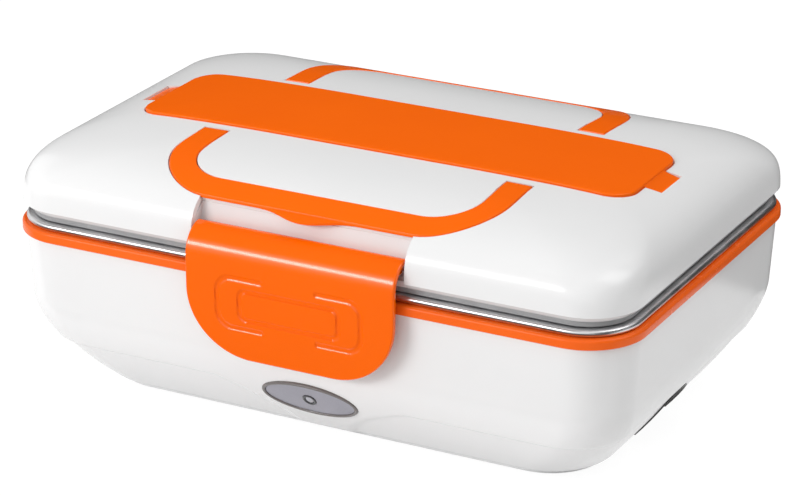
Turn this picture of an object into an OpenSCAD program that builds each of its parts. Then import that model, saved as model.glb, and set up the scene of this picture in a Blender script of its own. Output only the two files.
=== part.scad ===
// Electric lunch box with a hinged domed lid
// Origin at the middle of the footprint on the table, +X right, -Y front, +Z up

/* [Overall] */
// Length of the rim ring, left to right
rim_l = 236; // [200:1:270]
// Width of the rim ring, front to back
rim_w = 156.6; // [135:0.2:185]
// Plan radius of the rim ring's corners
rim_r = 21; // [18:1:26]
// Height of the rim ring's underside above the table
rim_z = 60; // [52:1:75]

/* [Base shell] */
// Wall of the base shell
base_wall = 2.2; // [1.6:0.2:3]
// How far the shell stands back from the ring's face
base_lip = 1.5; // [1:0.1:2]
// Height at which the wall starts to curve in
base_bend_z = 36; // [30:1:42]
// How far the wall leans in above the bend
base_lean = 1.5; // [0.5:0.1:3]
// How far the curve runs in at the table
base_tuck = 20.3; // [14:0.1:24]
// How sharply the curve turns
base_curve = 1.72; // [1.4:0.02:2.2]
// Plan radius of the shell's lowest corners
base_foot_r = 23; // [20:1:26]
// Height of the stepped lower band
band_h = 19.6; // [12:0.2:24]
// How deep the band is set back
band_step = 1; // [0.6:0.1:1.4]
// Half width of the plain tongue at the top of the band
tongue_top = 34; // [28:0.5:36]
// Half width of the tongue at the table
tongue_foot = 8; // [4:0.5:16]

/* [Rim ring] */
// Height of the ring
ring_h = 3.6; // [3:0.2:5]
// Width of the ring's flange
ring_flange = 7.2; // [6:0.2:8]
// Depth of the ring's inner skirt
ring_skirt = 8; // [5:0.5:12]

/* [Tray] */
// Sheet of the tray
tray_t = 0.8; // [0.6:0.1:1.2]
// Radius of the rolled rim
bead_r = 1.25; // [1:0.05:1.6]
// Distance of the rolled rim from the ring's face
bead_in = 2.9; // [2.6:0.1:3.4]
// Height of the tray's floor above the table
tray_floor_z = 24.2; // [23:0.1:30]

/* [Lid] */
// Height of the lid's lower edge above the ring's underside
lid_up = 8.5; // [7:0.1:12]
// How far the lid's widest line stands back from the ring's face
lid_in = 0.8; // [0.4:0.1:1.5]
// How far the lower edge is tucked in under the widest line
lid_tuck = 3.2; // [2:0.1:4]
// Height of the widest line above the lower edge
lid_belly = 2.5; // [2:0.1:4]
// Height of the dome above the widest line
lid_crown = 22.3; // [18:0.1:28]
// Wall of the lid
lid_wall = 2.2; // [1.8:0.1:2.8]
// Squareness of the dome seen from the front
dome_px = 4.9; // [3:0.1:6]
// Squareness of the dome seen from the side
dome_py = 3.2; // [2.4:0.1:4]

/* [Utensil cover] */
// Half length of the cover
cover_a = 95; // [85:1:99]
// Half width of the cover
cover_b = 23.6; // [20:0.2:26]
// Plan radius of its corners
cover_r = 9; // [6:0.5:12]
// Thickness of the cover
cover_t = 2; // [1.6:0.1:2.6]
// How far it stands proud of the lid
cover_proud = 0.8; // [0.4:0.1:1.2]
// Width of its end tabs
tab_w = 17; // [12:1:22]
// Length of its end tabs
tab_l = 6.2; // [5:0.1:9]
// Depth of the utensil compartment
trough_h = 15; // [10:0.5:18]

/* [Handles] */
// Half distance between the arms' middles
bail_x = 58.6; // [54:0.1:62]
// Distance of the pivots from the middle of the lid
bail_y = 32.6; // [31:0.1:36]
// Reach of a bail from its pivot to its outer edge
bail_reach = 37.9; // [34:0.1:42]
// Width of a bail's arm
bail_arm = 9.6; // [8:0.1:11]
// Width of a bail's grip bar
bail_grip = 8.8; // [7:0.1:12]
// How far its upper lip overhangs
bail_lip = 3.3; // [2:0.1:4]
// Thickness of that lip
bail_lip_t = 1.2; // [1:0.1:1.6]
// How far the arms bow outwards
bail_bow = 0.3; // [0:0.1:3]
// Thickness of a bail
bail_t = 3.8; // [3:0.1:4.5]
// How far a bail stands proud of the lid
bail_proud = 0.2; // [0:0.1:0.6]
// Radius of a bail's pivot pin
bail_pin_r = 1.4; // [1.2:0.1:1.6]

/* [Latch] */
// Half width of the latch
latch_a = 39.5; // [34:0.5:46]
// How far the latch reaches down below the ring's underside
latch_drop = 26.5; // [18:0.5:30]
// Wall of the latch
latch_wall = 2; // [1.6:0.1:2.6]
// How far the latch stands in front of the ring
latch_proud = 5; // [4.6:0.1:7]
// Distance of the latch's pin behind the lid's widest line
latch_pin_in = 2.9; // [2.5:0.1:3.2]
// Height of the latch's pin above the lid's lower edge
latch_pin_up = 7; // [6.5:0.1:8.5]
// Radius of the latch's pin
latch_pin_r = 1.25; // [1:0.05:1.3]
// Width of the moulded lines on the latch's face
line_w = 1.5; // [1:0.1:2]
// Depth of those lines
line_d = 0.4; // [0.2:0.1:0.6]

/* [Hinge] */
// Distance of the hinge's axis behind the ring's face
hinge_out = 2.6; // [2.4:0.1:3.4]
// Height of the hinge's axis above the ring's underside
hinge_up = 7; // [6.6:0.1:8]
// Outer radius of the knuckles
knuckle_r = 3.6; // [3.4:0.1:4]
// Length of one knuckle
knuckle_l = 14; // [10:0.5:20]
// Radius of the hinge pin
hinge_pin_r = 1.4; // [1.2:0.1:1.6]

/* [Bottom] */
// Height of the foot rim
foot_rim = 2; // [1.6:0.1:3]
// Height of the rim's underside above the table
foot_gap = 1; // [0.6:0.1:1.4]
// Radius of the rubber feet
foot_r = 6; // [5:0.5:7]
// Radius of the feet's screws
screw_r = 1.4; // [1.2:0.1:1.6]

/* [Power and lamp] */
// Radius of the inlet's arch
inlet_r = 13.5; // [12:0.5:15]
// Place of the inlet along the right end
inlet_y = -2; // [-10:1:10]
// Half length of the oval badge
badge_a = 18.5; // [16:0.5:19]
// Half height of the oval badge
badge_b = 8; // [6:0.5:8.5]
// Height of the badge's middle
badge_z = 17.8; // [16:0.2:21]
// Radius of the lamp's lens
lamp_r = 2.6; // [2:0.1:3.4]

/* [Clearances] */
// Gap between moving pieces and between soft fits
gap = 0.3; // [0.2:0.05:0.4]
// Gap between pieces that lie on each other
seat = 0.1; // [0.05:0.05:0.2]
// Radial gap of a pin in its bore
pin_gap = 0.06; // [0.03:0.01:0.1]

/* [Hidden] */
$fn = 48;
arc_n = 8;
a0 = rim_l / 2;
b0 = rim_w / 2;
ring_top = rim_z + ring_h;
bead_z = ring_top + seat + bead_r;
bead_top = bead_z + bead_r;
lid_a = a0 - lid_in;
lid_b = b0 - lid_in;
lid_z = rim_z + lid_up;
lid_wide_z = lid_z + lid_belly;
lid_top = lid_wide_z + lid_crown;
hinge_y = b0 + hinge_out;
hinge_z = rim_z + hinge_up;
latch_y = -(b0 + latch_proud);
latch_pin_y = -(lid_b - latch_pin_in);
latch_pin_z = lid_z + latch_pin_up;
latch_z = rim_z - latch_drop;

// Rounded rectangle as an outline of points, counter-clockwise
function corner(sx, sy, q, a, b, r) =
    [for (i = [0:arc_n]) let(t = 90 * (q + i / arc_n)) [sx * (a - r) + r * cos(t), sy * (b - r) + r * sin(t)]];
function outline(a, b, r) =
    concat(corner(1, 1, 0, a, b, r), corner(-1, 1, 1, a, b, r), corner(-1, -1, 2, a, b, r), corner(1, -1, 3, a, b, r));
function at_z(pts, z) = [for (p = pts) [p[0], p[1], z]];

// Solid through a stack of rings of equal point count, capped, or closed on itself
module skin(rings, closed = false, strip = false) {
    n = len(rings[0]);
    m = len(rings);
    pts = [for (r = rings) each r];
    side = [for (k = [0:(closed ? m - 1 : m - 2)]) for (i = [0:n - 1])
        let(j = (i + 1) % n, a = k * n + i, b = k * n + j, c = ((k + 1) % m) * n + j, d = ((k + 1) % m) * n + i)
        each [[a, d, c], [a, c, b]]];
    last = (m - 1) * n;
    flat = closed || strip ? [] : [[for (i = [0:n - 1]) i], [for (i = [n - 1:-1:0]) last + i]];
    strips = strip ? [for (i = [0:n / 2 - 2]) let(o = n - 1 - i)
        each [[i, i + 1, o - 1], [i, o - 1, o], [last + i, last + o - 1, last + i + 1], [last + i, last + o, last + o - 1]]] : [];
    caps = concat(flat, strips);
    polyhedron(pts, concat(side, caps));
}

// Rounded rectangle in the plane with true arcs
module plate(a, b, r) {
    square([2 * (a - r), 2 * b], center = true);
    square([2 * a, 2 * (b - r)], center = true);
    for (x = [-1, 1]) for (y = [-1, 1]) translate([x * (a - r), y * (b - r)]) circle(r);
}

// A profile carried round a rounded rectangle; its x runs outwards from the corner's middle
module carry_round(a, b, r) {
    for (s = [[1, 1, 0], [-1, 1, 90], [-1, -1, 180], [1, -1, 270]])
        translate([s[0] * (a - r), s[1] * (b - r), 0]) rotate(s[2]) rotate_extrude(angle = 90) children();
    for (h = [0, 180]) {
        rotate(h) translate([a - r, 0, 0]) rotate([90, 0, 0]) linear_extrude(2 * (b - r), center = true) children();
        rotate(h + 90) translate([b - r, 0, 0]) rotate([90, 0, 0]) linear_extrude(2 * (a - r), center = true) children();
    }
}

// Base shell: how far its face stands in from the ring's face at a height
function base_in(z) = base_lip + (z >= base_bend_z
    ? base_lean * (rim_z - z) / (rim_z - base_bend_z)
    : base_lean + base_tuck * pow((base_bend_z - z) / base_bend_z, base_curve));
function base_r(z) = z >= base_bend_z ? rim_r - base_in(z)
    : rim_r - base_lip - base_lean + (base_foot_r - rim_r + base_lip + base_lean) * (1 - z / base_bend_z);
function mix(a, b, t) = a + (b - a) * t;
function soft(t) = let(c = max(0, min(1, t))) c * c * (3 - 2 * c);
function tongue_half(z) = tongue_foot + (tongue_top - tongue_foot) * pow(z / band_h, 2.2);
tongue_x = [for (i = [-14:14]) i * 3];
// Outline with extra points along the front, so that the tongue has its curved sides
function base_outline(inset, r, z, step) =
    let(a = a0 - inset, b = b0 - inset, s = step)
    concat(
        at_z(corner(1, 1, 0, a - s, b - s, r), z), at_z(corner(-1, 1, 1, a - s, b - s, r), z),
        at_z(corner(-1, -1, 2, a - s, b - s, r), z),
        [for (x = tongue_x) [x, -(b - s * soft((abs(x) - tongue_half(z)) / 4)), z]],
        at_z(corner(1, -1, 3, a - s, b - s, r), z));
function base_ring(z, extra, step) = base_outline(base_in(z) + extra, base_r(z) - extra, z, step);
base_foot_z = foot_gap + foot_rim;
lip_z = base_foot_z + base_wall;
lip_in = 27;
cover_step_z = lip_z - 0.7;

module base_shell() {
    color("white") difference() {
        union() {
            skin(concat(
                [for (t = [0, 0.18, 0.38, 0.58, 0.78, 1]) base_ring(mix(base_foot_z, band_h, t), 0, band_step)],
                [for (t = [0, 0.22, 0.46, 0.72, 1]) base_ring(mix(band_h + 0.8, base_bend_z, t), 0, 0)],
                [for (z = [(base_bend_z + rim_z) / 2, rim_z]) base_ring(z, 0, 0)],
                [for (z = [rim_z, base_bend_z]) base_ring(z, base_wall, 0)],
                [for (t = [0.66, 0.33, 0]) base_ring(mix(band_h + 0.8, base_bend_z, t), base_wall, 0)],
                [for (t = [0.74, 0.4, 0]) base_ring(mix(lip_z, band_h, t), base_wall * 1.2, band_step)],
                [base_outline(lip_in, base_foot_r, lip_z, 0), base_outline(lip_in, base_foot_r, base_foot_z, 0)]
            ), closed = true);
            base_knuckles();
            inlet_tunnel();
        }
        translate([socket_x - 14, inlet_y, inlet_floor]) rotate([0, 90, 0]) cylinder(r = inlet_r, h = 50);
        badge_frame() translate([0, 0, -badge_deep]) linear_extrude(8) polygon(oval(badge_a + seat, badge_b + seat));
        badge_frame() translate([0, 0, -6]) cylinder(r = lamp_r + 0.15, h = 10);
        hinge_bore();
    }
}
inlet_floor = 5;
inlet_wall = 1.4;
// Arched tunnel from the shell's face back to the socket
module inlet_tunnel() {
    x0 = socket_x - 13;
    z0 = cover_step_z + seat;
    intersection() {
        translate([x0, inlet_y, inlet_floor]) rotate([0, 90, 0]) cylinder(r = inlet_r + inlet_wall, h = 40);
        rotate([90, 0, 0]) linear_extrude(100, center = true) polygon([
            [x0 - 1, z0], [a0 - base_in(z0) - 1.9, z0], [a0 - base_in(8) - 1.9, 8],
            [a0 - base_in(14) - 1.9, 14], [a0 - base_in(20.4) - 1.9, 20.4], [x0 - 1, 20.4]]);
    }
}
badge_deep = 1.4;

// Places a flat drawing on the sloping front face, x along the face and y up it
badge_slope = atan(base_tuck * base_curve / base_bend_z
    * pow((base_bend_z - badge_z) / base_bend_z, base_curve - 1));
module badge_frame() {
    translate([0, -(b0 - base_in(badge_z)), badge_z]) rotate([90 + badge_slope, 0, 0]) children();
}

// The knuckles stand between stations of equal length along the hinge, counted from the left
knuckle_pitch = knuckle_l + gap;
module knuckle(i, from, tip_y, tip_z) {
    translate([(i - 2.5) * knuckle_pitch + gap / 2, 0, 0]) {
        translate([0, hinge_y, hinge_z]) rotate([0, 90, 0]) cylinder(r = knuckle_r, h = knuckle_l);
        rotate([90, 0, 90]) linear_extrude(knuckle_l) polygon(from);
    }
}
module base_knuckles() {
    w = b0 - base_lip;
    for (i = [1, 3]) knuckle(i, [[w - 1.5, rim_z - 0.6], [w - 1.5, rim_z - 14], [w - 0.3, rim_z - 14],
        [hinge_y + knuckle_r * 0.8, hinge_z - knuckle_r * 0.6], [hinge_y, hinge_z],
        [b0 + gap, hinge_z], [b0 + gap, rim_z - 0.6]]);
}
module hinge_bore() {
    translate([-3 * knuckle_pitch, hinge_y, hinge_z]) rotate([0, 90, 0])
        cylinder(r = hinge_pin_r + pin_gap, h = 6 * knuckle_pitch);
}
module hinge_pin() {
    color("silver") translate([-2.5 * knuckle_pitch + 1, hinge_y, hinge_z]) rotate([0, 90, 0])
        cylinder(r = hinge_pin_r, h = 5 * knuckle_pitch - 2);
}

module rim_ring() {
    edge = 1.1;
    skirt_in = base_lip + base_wall + base_lean * ring_skirt / (rim_z - base_bend_z) + gap / 2;
    skirt_t = 1.1;
    color("orangered") carry_round(a0, b0, rim_r) difference() {
        union() {
            translate([rim_r - ring_flange, rim_z]) square([ring_flange - edge, ring_h]);
            translate([rim_r - edge - 0.01, rim_z]) square([edge + 0.01, ring_h - edge]);
            translate([rim_r - edge, ring_top - edge]) circle(edge);
            translate([rim_r - skirt_in - skirt_t, rim_z - ring_skirt]) square([skirt_t, ring_skirt + 1]);
        }
    }
}

tray_in = ring_flange + 1.2;
tray_foot_in = 18;
tray_r = 20;
function tray_ring(z, extra, r) =
    let(t = (z - tray_floor_z) / (bead_top - tray_floor_z), d = tray_foot_in + (tray_in - tray_foot_in) * t + extra)
    at_z(outline(a0 - d, b0 - d, r), z);
module food_tray() {
    fillet = 5;
    flange_z = bead_top - tray_t;
    inner_floor = tray_floor_z + tray_t;
    color("silver") union() {
        skin(concat(
            [tray_ring(tray_floor_z, fillet, tray_r - fillet), tray_ring(tray_floor_z + 0.6, fillet * 0.45, tray_r - fillet * 0.45),
             tray_ring(tray_floor_z + 2, fillet * 0.13, tray_r), tray_ring(tray_floor_z + fillet, 0, tray_r),
             tray_ring(bead_top, 0, tray_r)],
            [tray_ring(bead_top, tray_t, tray_r - tray_t), tray_ring(inner_floor + fillet, tray_t, tray_r - tray_t),
             tray_ring(inner_floor + 2, tray_t + fillet * 0.13, tray_r - tray_t),
             tray_ring(inner_floor + 0.6, tray_t + fillet * 0.45, tray_r - fillet * 0.45 - tray_t),
             tray_ring(inner_floor, tray_t + fillet, tray_r - fillet - tray_t)]));
        translate([0, 0, flange_z]) linear_extrude(tray_t) difference() {
            plate(a0 - bead_in, b0 - bead_in, rim_r - bead_in);
            polygon(outline(a0 - tray_in - tray_t / 2, b0 - tray_in - tray_t / 2, tray_r - tray_t / 2));
        }
        carry_round(a0, b0, rim_r) translate([rim_r - bead_in, bead_z]) circle(bead_r);
    }
}

plate_t = 2;
well_wall = 1.5;
well_in = ring_flange - well_wall;
well_foot_in = 15.6;
well_floor_z = tray_floor_z - 0.2 - plate_t - well_wall;
plate_a = 66;
plate_b = 40;
post_x = 62;
post_y = 44;
post_r = 4;
function well_ring(z, extra, r) =
    let(t = (z - well_floor_z) / (rim_z - seat - well_floor_z), d = well_foot_in + (well_in - well_foot_in) * t + extra)
    at_z(outline(a0 - d, b0 - d, r), z);
module heating_well() {
    well_r = 21;
    floor_top = well_floor_z + well_wall;
    color("whitesmoke") difference() {
        union() {
            skin([well_ring(well_floor_z, 2, well_r - 2), well_ring(well_floor_z + 2, 0, well_r), well_ring(rim_z - seat, 0, well_r),
                  well_ring(rim_z - seat, well_wall, well_r - well_wall), well_ring(floor_top + 1, well_wall, well_r - well_wall),
                  well_ring(floor_top, well_wall + 1, well_r - well_wall - 1)]);
            for (x = [-1, 1]) for (y = [-1, 1]) translate([x * post_x, y * post_y, cover_step_z + seat])
                cylinder(r = post_r, h = well_floor_z - cover_step_z + 0.5);
        }
        translate([0, 0, well_floor_z - 1]) linear_extrude(5) plate(plate_a - 4, plate_b - 4, 6);
        for (x = [-1, 1]) for (y = [-1, 1]) translate([x * post_x, y * post_y, cover_step_z - 1])
            cylinder(r = screw_r, h = 13);
    }
}

plate_z = well_floor_z + well_wall + 0.05;
module heater_plate() {
    color("lightgray") translate([0, 0, plate_z]) linear_extrude(plate_t) plate(plate_a, plate_b, 9);
}
ptc_a = 32;
ptc_b = 14;
ptc_t = 5;
ptc_z = plate_z - 0.05 - ptc_t;
module ptc_heater() {
    color("dimgray") translate([-ptc_a, -ptc_b, ptc_z]) cube([2 * ptc_a, 2 * ptc_b, ptc_t]);
    color("silver") for (x = [-10, 10]) translate([x - 2, ptc_b - 0.01, ptc_z + 2]) cube([4, 7, 0.8]);
}
clamp_t = 1.2;
module heater_clamp() {
    w = 16;
    top = well_floor_z - seat;
    low = ptc_z - 0.05 - clamp_t;
    reach = plate_b + 1;
    color("silver") translate([-w / 2, 0, 0]) rotate([90, 0, 90]) linear_extrude(w) union() {
        translate([-ptc_b - 9, low]) square([2 * ptc_b + 18, clamp_t]);
        for (s = [-1, 1]) {
            translate([s * (ptc_b + 9) - (s < 0 ? clamp_t : 0), low]) square([clamp_t, top - low]);
            translate([s > 0 ? ptc_b + 9 : -reach, top - clamp_t]) square([reach - ptc_b - 9, clamp_t]);
        }
    }
}
thermo_x = 48;
module thermostat() {
    z = plate_z - 0.05;
    color("dimgray") translate([thermo_x, 0, z - 6]) cylinder(r = 8, h = 6);
    color("silver") translate([thermo_x, 0, z - 0.8]) cylinder(r = 11, h = 0.8);
    color("silver") for (s = [-1, 1]) translate([thermo_x - 2.5, s * 5.5 - 0.4, z - 11]) cube([5, 0.8, 6]);
}
fuse_x = -48;
module thermal_fuse() {
    z = plate_z - 0.05;
    color("gold") translate([fuse_x, 0, z - 3]) rotate([90, 0, 0]) cylinder(r = 2, h = 11, center = true);
    color("silver") translate([fuse_x - 5, -4, z - 0.8]) cube([10, 8, 0.8]);
    color("silver") for (s = [-1, 1]) translate([fuse_x - 2.6, s * 3.2 - 0.8, z - 3]) cube([5.2, 1.6, 2.5]);
    color("silver") for (s = [-1, 1]) translate([fuse_x, s * 5.4, z - 3]) rotate([-90 * s, 0, 0]) cylinder(r = 0.6, h = 8);
}

socket_x = a0 - 25;
socket_face = a0 - 30 + 9;
pin_pitch = 8.6;
module inlet_socket() {
    r = inlet_r - gap;
    color("black") difference() {
        union() {
            translate([socket_x - 13, inlet_y, inlet_floor]) rotate([0, 90, 0]) cylinder(r = r, h = 13);
        }
        translate([socket_x - 30, inlet_y - 40, -40]) cube([60, 80, 40 + lip_z + seat]);
        for (s = [-1, 1]) translate([socket_x - 10, inlet_y + s * pin_pitch / 2, inlet_floor + 6])
            rotate([0, 90, 0]) cylinder(r = 3.6, h = 20);
        translate([socket_x - 10, inlet_y - pin_pitch / 2, inlet_floor + 6 - 2.8]) cube([20, pin_pitch, 5.6]);
        for (s = [-1, 1]) translate([socket_x - 14, inlet_y + s * pin_pitch / 2, inlet_floor + 6])
            rotate([0, 90, 0]) cylinder(r = 1.2 + 0.03, h = 5);
    }
}
module inlet_pins() {
    color("gold") for (s = [-1, 1]) translate([socket_x - 18, inlet_y + s * pin_pitch / 2, inlet_floor + 6])
        rotate([0, 90, 0]) cylinder(r = 1.2, h = 16);
}

// Ellipse of straight facets, drawn on the badge's own plane
function oval(a, b, n = 48) = [for (i = [0:n - 1]) [a * cos(360 * i / n), b * sin(360 * i / n)]];
module badge_bezel() {
    color("gray") badge_frame() translate([0, 0, -badge_deep + seat]) linear_extrude(badge_deep + 0.5) difference() {
        polygon(oval(badge_a, badge_b));
        polygon(oval(badge_a - 1.3, badge_b - 1.1));
    }
}
module badge_plate() {
    color("darkgray") badge_frame() translate([0, 0, -badge_deep + seat]) difference() {
        linear_extrude(badge_deep + 0.1) polygon(oval(badge_a - 1.35, badge_b - 1.15));
        translate([0, 0, -1]) cylinder(r = lamp_r + 0.05, h = 4);
    }
}
module lamp_lens() {
    back = -base_wall - 0.4 - 1;
    color("black") badge_frame() difference() {
        translate([0, 0, back]) union() {
            cylinder(r = lamp_r, h = 0.5 - back);
            cylinder(r = lamp_r + 1, h = 1);
        }
        translate([0, 0, back - 1]) cylinder(r = 1.5, h = 3);
    }
}
module lamp_board() {
    top = -base_wall - 0.4 - 1.6;
    color("green") badge_frame() translate([-6, -5.5, top - 1.2]) cube([12, 8, 1.2]);
    color("red") badge_frame() translate([0, 0, top - 0.1]) cylinder(r = 1.2, h = 2.3);
}

// Leads as tubes swept through points chosen by hand
function unit(v) = v / norm(v);
function spline(p, i, t) =
    let(n = len(p), q0 = p[max(i - 1, 0)], q1 = p[i], q2 = p[i + 1], q3 = p[min(i + 2, n - 1)])
    0.5 * ((2 * q1) + (q2 - q0) * t + (2 * q0 - 5 * q1 + 4 * q2 - q3) * t * t + (3 * q1 - q0 - 3 * q2 + q3) * t * t * t);
function lead_path(p) = concat([for (i = [0:len(p) - 2]) for (t = [0:0.34:0.9]) spline(p, i, t)], [p[len(p) - 1]]);
module lead(p, r) {
    c = lead_path(p);
    n = len(c);
    rings = [for (k = [0:n - 1])
        let(d = unit(c[min(k + 1, n - 1)] - c[max(k - 1, 0)]), u = unit(cross(d, [0.1, 0.2, 1])), v = cross(d, u))
        [for (i = [0:7]) c[k] + r * (cos(45 * i) * u + sin(45 * i) * v)]];
    skin(rings);
}
module wiring_leads() {
    pin_z = inlet_floor + 6;
    px = socket_x - 18.9;
    py = pin_pitch / 2;
    ty = ptc_b + 9;
    fz = plate_z - 3.1;
    color("firebrick") {
        lead([[px, inlet_y - py, pin_z], [70, -9, 10], [60, -10, 9], [52, -8, 8.5], [thermo_x, -5.5, 9.6]], 0.9);
        lead([[thermo_x, 5.5, 9.6], [42, 12, 8], [10, 29, 8], [-30, 26, 9], [-44, 20, 13], [fuse_x, 14.1, fz]], 0.9);
        lead([[fuse_x, -14.1, fz], [-40, -24, 12], [-26, -28, 8], [-24, 10, 8], [-18, 24, 11], [-10, ty, 14.5]], 0.9);
        lead([[-2.5, -61.7, 17.4], [-4, -54, 9], [12, -40, 8], [40, -24, 8], [64, -16, 9.5], [px - 3, -8, 12.6]], 0.6);
    }
    color("royalblue") {
        lead([[px, inlet_y + py, pin_z], [68, 8, 10], [50, 16, 9.5], [28, 24, 11], [10, ty, 14.5]], 0.9);
        lead([[2.5, -61.7, 17.4], [1, -54, 9], [16, -42, 8], [44, -28, 8], [70, -20, 9.5], [78, -6, 14.6], [px - 1, 1.6, 13]], 0.6);
    }
}

cover_x = a0 - 24.5;
cover_y = b0 - 24.5;
module bottom_cover() {
    color("white") difference() {
        union() {
            translate([0, 0, foot_gap]) linear_extrude(foot_rim) plate(cover_x, cover_y, base_foot_r - 3);
            translate([0, 0, base_foot_z - 0.5]) linear_extrude(cover_step_z - base_foot_z + 0.5)
                plate(a0 - lip_in - 0.5, b0 - lip_in - 0.5, base_foot_r - 0.5);
        }
        for (x = [-1, 1]) for (y = [-1, 1]) {
            translate([x * post_x, y * post_y, 0]) cylinder(r = screw_r + 0.3, h = 10);
            translate([x * post_x, y * post_y, -1]) cylinder(r = 3.4, h = 1 + base_foot_z);
            translate([x * foot_x, y * foot_y, -1]) cylinder(r = foot_r + seat, h = 1 + foot_gap + 0.8);
        }
        for (x = [-1, 1]) for (i = [-3:3]) translate([x * 28 + i * 6, 0, -1]) linear_extrude(10) vent_slot(3, 26);
    }
}
foot_x = 79;
foot_y = 40;
module vent_slot(w, l) {
    square([w, l - w], center = true);
    for (s = [-1, 1]) translate([0, s * (l - w) / 2]) circle(w / 2);
}
module cover_screws() {
    color("silver") for (x = [-1, 1]) for (y = [-1, 1]) translate([x * post_x, y * post_y, 0]) difference() {
        union() {
            translate([0, 0, base_foot_z - 1.8]) cylinder(r = 3, h = 1.8 - seat / 2);
            translate([0, 0, base_foot_z - 0.6]) cylinder(r = screw_r - 0.03, h = 11);
        }
        translate([0, 0, base_foot_z - 2]) cube([3.6, 0.8, 1.6], center = true);
        translate([0, 0, base_foot_z - 2]) cube([0.8, 3.6, 1.6], center = true);
    }
}
module rubber_feet() {
    color("dimgray") for (x = [-1, 1]) for (y = [-1, 1]) translate([x * foot_x, y * foot_y, 0])
        cylinder(r1 = foot_r - 0.5, r2 = foot_r, h = foot_gap + 0.8 - seat / 2);
}

// Dome of the lid as level slices: w runs from 0 at the widest line to 1 at the top
function slice_a(w, a) = a * pow(1 - pow(w, dome_px), 1 / dome_px);
function slice_b(w, b) = b * pow(1 - pow(w, dome_py), 1 / dome_py);
function slice_r(w, a, b) = min(slice_b(w, b) - 0.3, slice_a(w, a) - 0.3, rim_r - lid_in - 0.7 + 10 * pow(w, 1.75));
function dome_ring(w, a, b, h) = at_z(outline(slice_a(w, a), slice_b(w, b), slice_r(w, a, b)), lid_wide_z + h * w);
dome_w = [for (t = [0, 9, 18, 27, 36, 45, 54, 63, 72, 80]) sin(t)];
// Distance from a point to the edge of a slice, negative inside
function slice_edge(x, y, w) =
    let(a = slice_a(w, lid_a), b = slice_b(w, lid_b), r = slice_r(w, lid_a, lid_b),
        qx = abs(x) - (a - r), qy = abs(y) - (b - r))
    norm([max(qx, 0), max(qy, 0)]) + min(max(qx, qy), 0) - r;
function find_w(x, y, lo, hi, n) =
    n == 0 ? lo : let(m = (lo + hi) / 2) slice_edge(x, y, m) <= 0 ? find_w(x, y, m, hi, n - 1) : find_w(x, y, lo, m, n - 1);
// Height of the dome's surface over a point of the plan
function dome_z(x, y) = lid_wide_z + lid_crown * find_w(x, y, 0, 0.99999, 14);

// Slab that follows the dome: outline in plan, and offsets of its faces from the dome
cover_x_steps = [0, 20, 38, 54, 68, 80];
function cover_half(x, grow) =
    let(a = cover_a + grow, b = cover_b + grow, r = cover_r + grow, t = x - (a - r))
    t <= 0 ? b : b - r + sqrt(max(0, r * r - t * t));
function cover_section(x, grow, low, high) =
    let(b = cover_half(abs(x), grow), n = 8)
    concat([for (i = [0:n]) let(y = -b + 2 * b * i / n) [x, y, dome_z(x, y) + low]],
           [for (i = [n:-1:0]) let(y = -b + 2 * b * i / n) [x, y, dome_z(x, y) + high]]);
module dome_slab(grow, low, high) {
    end = [for (t = [0, 25, 45, 62, 76, 84]) cover_a - cover_r + (cover_r + grow) * sin(t)];
    half = concat(cover_x_steps, end);
    skin([for (x = concat([for (i = [len(half) - 1:-1:1]) -half[i]], half)) cover_section(x, grow, low, high)], strip = true);
}
tab_drop = 2.4;
module cover_tab(grow) {
    z = dome_z(cover_a, 0) + cover_proud;
    for (s = [0, 180]) rotate(s) translate([0, -tab_w / 2 - grow, 0]) rotate([90, 0, 0]) mirror([0, 0, 1])
        linear_extrude(tab_w + 2 * grow) polygon([
            [cover_a - 3 - grow, z - 0.2], [cover_a - 1, z - 0.1], [cover_a + 1.5, z - 1.1 + grow * 8],
            [cover_a + tab_l + grow, z - tab_drop + grow * 12], [cover_a + tab_l + grow, z - tab_drop - 1.6 - grow],
            [cover_a + 1.2, z - 3 - grow], [cover_a - 3 - grow, z - cover_t - grow / 2]]);
}

trough_a = 84;
trough_b = 17;
trough_r = 8;
trough_top = dome_z(0, 0) - cover_t + cover_proud - 2;
trough_z = trough_top - trough_h;
module utensil_cover() {
    low = cover_proud - cover_t;
    color("darkorange") union() {
        dome_slab(0, low, cover_proud);
        cover_tab(0);
        translate([0, 0, dome_z(trough_a, trough_b) - 4.5]) linear_extrude(4.5 + low + 1) difference() {
            plate(trough_a - gap, trough_b - gap, trough_r - gap);
            plate(trough_a - 1.8, trough_b - 1.8, trough_r - 1.8);
        }
    }
}

// One bail follows the dome; its lines are drawn in plan from the pivots' axis, then laid on the dome
bail_z = dome_z(bail_x, bail_y) - bail_t / 2 + bail_proud;
function bail_half(a, b, r, xe, end) = concat(
    [[xe, end], [xe, end / 2], [xe, 0], [(xe + a) / 2, -4.5], [a, -9], [a, -(9 + b - r) / 2]],
    [for (i = [0:8]) let(t = -90 * i / 8) [a - r + r * cos(t), -(b - r) + r * sin(t)]],
    [for (k = [3:-1:1]) [(a - r) * k / 4, -b]]);
function bail_side(a, b, r, xe, end) =
    let(h = bail_half(a, b, r, xe, end)) concat([for (p = h) [-p[0], p[1]]], [[0, -b]], backwards(h));
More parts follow.
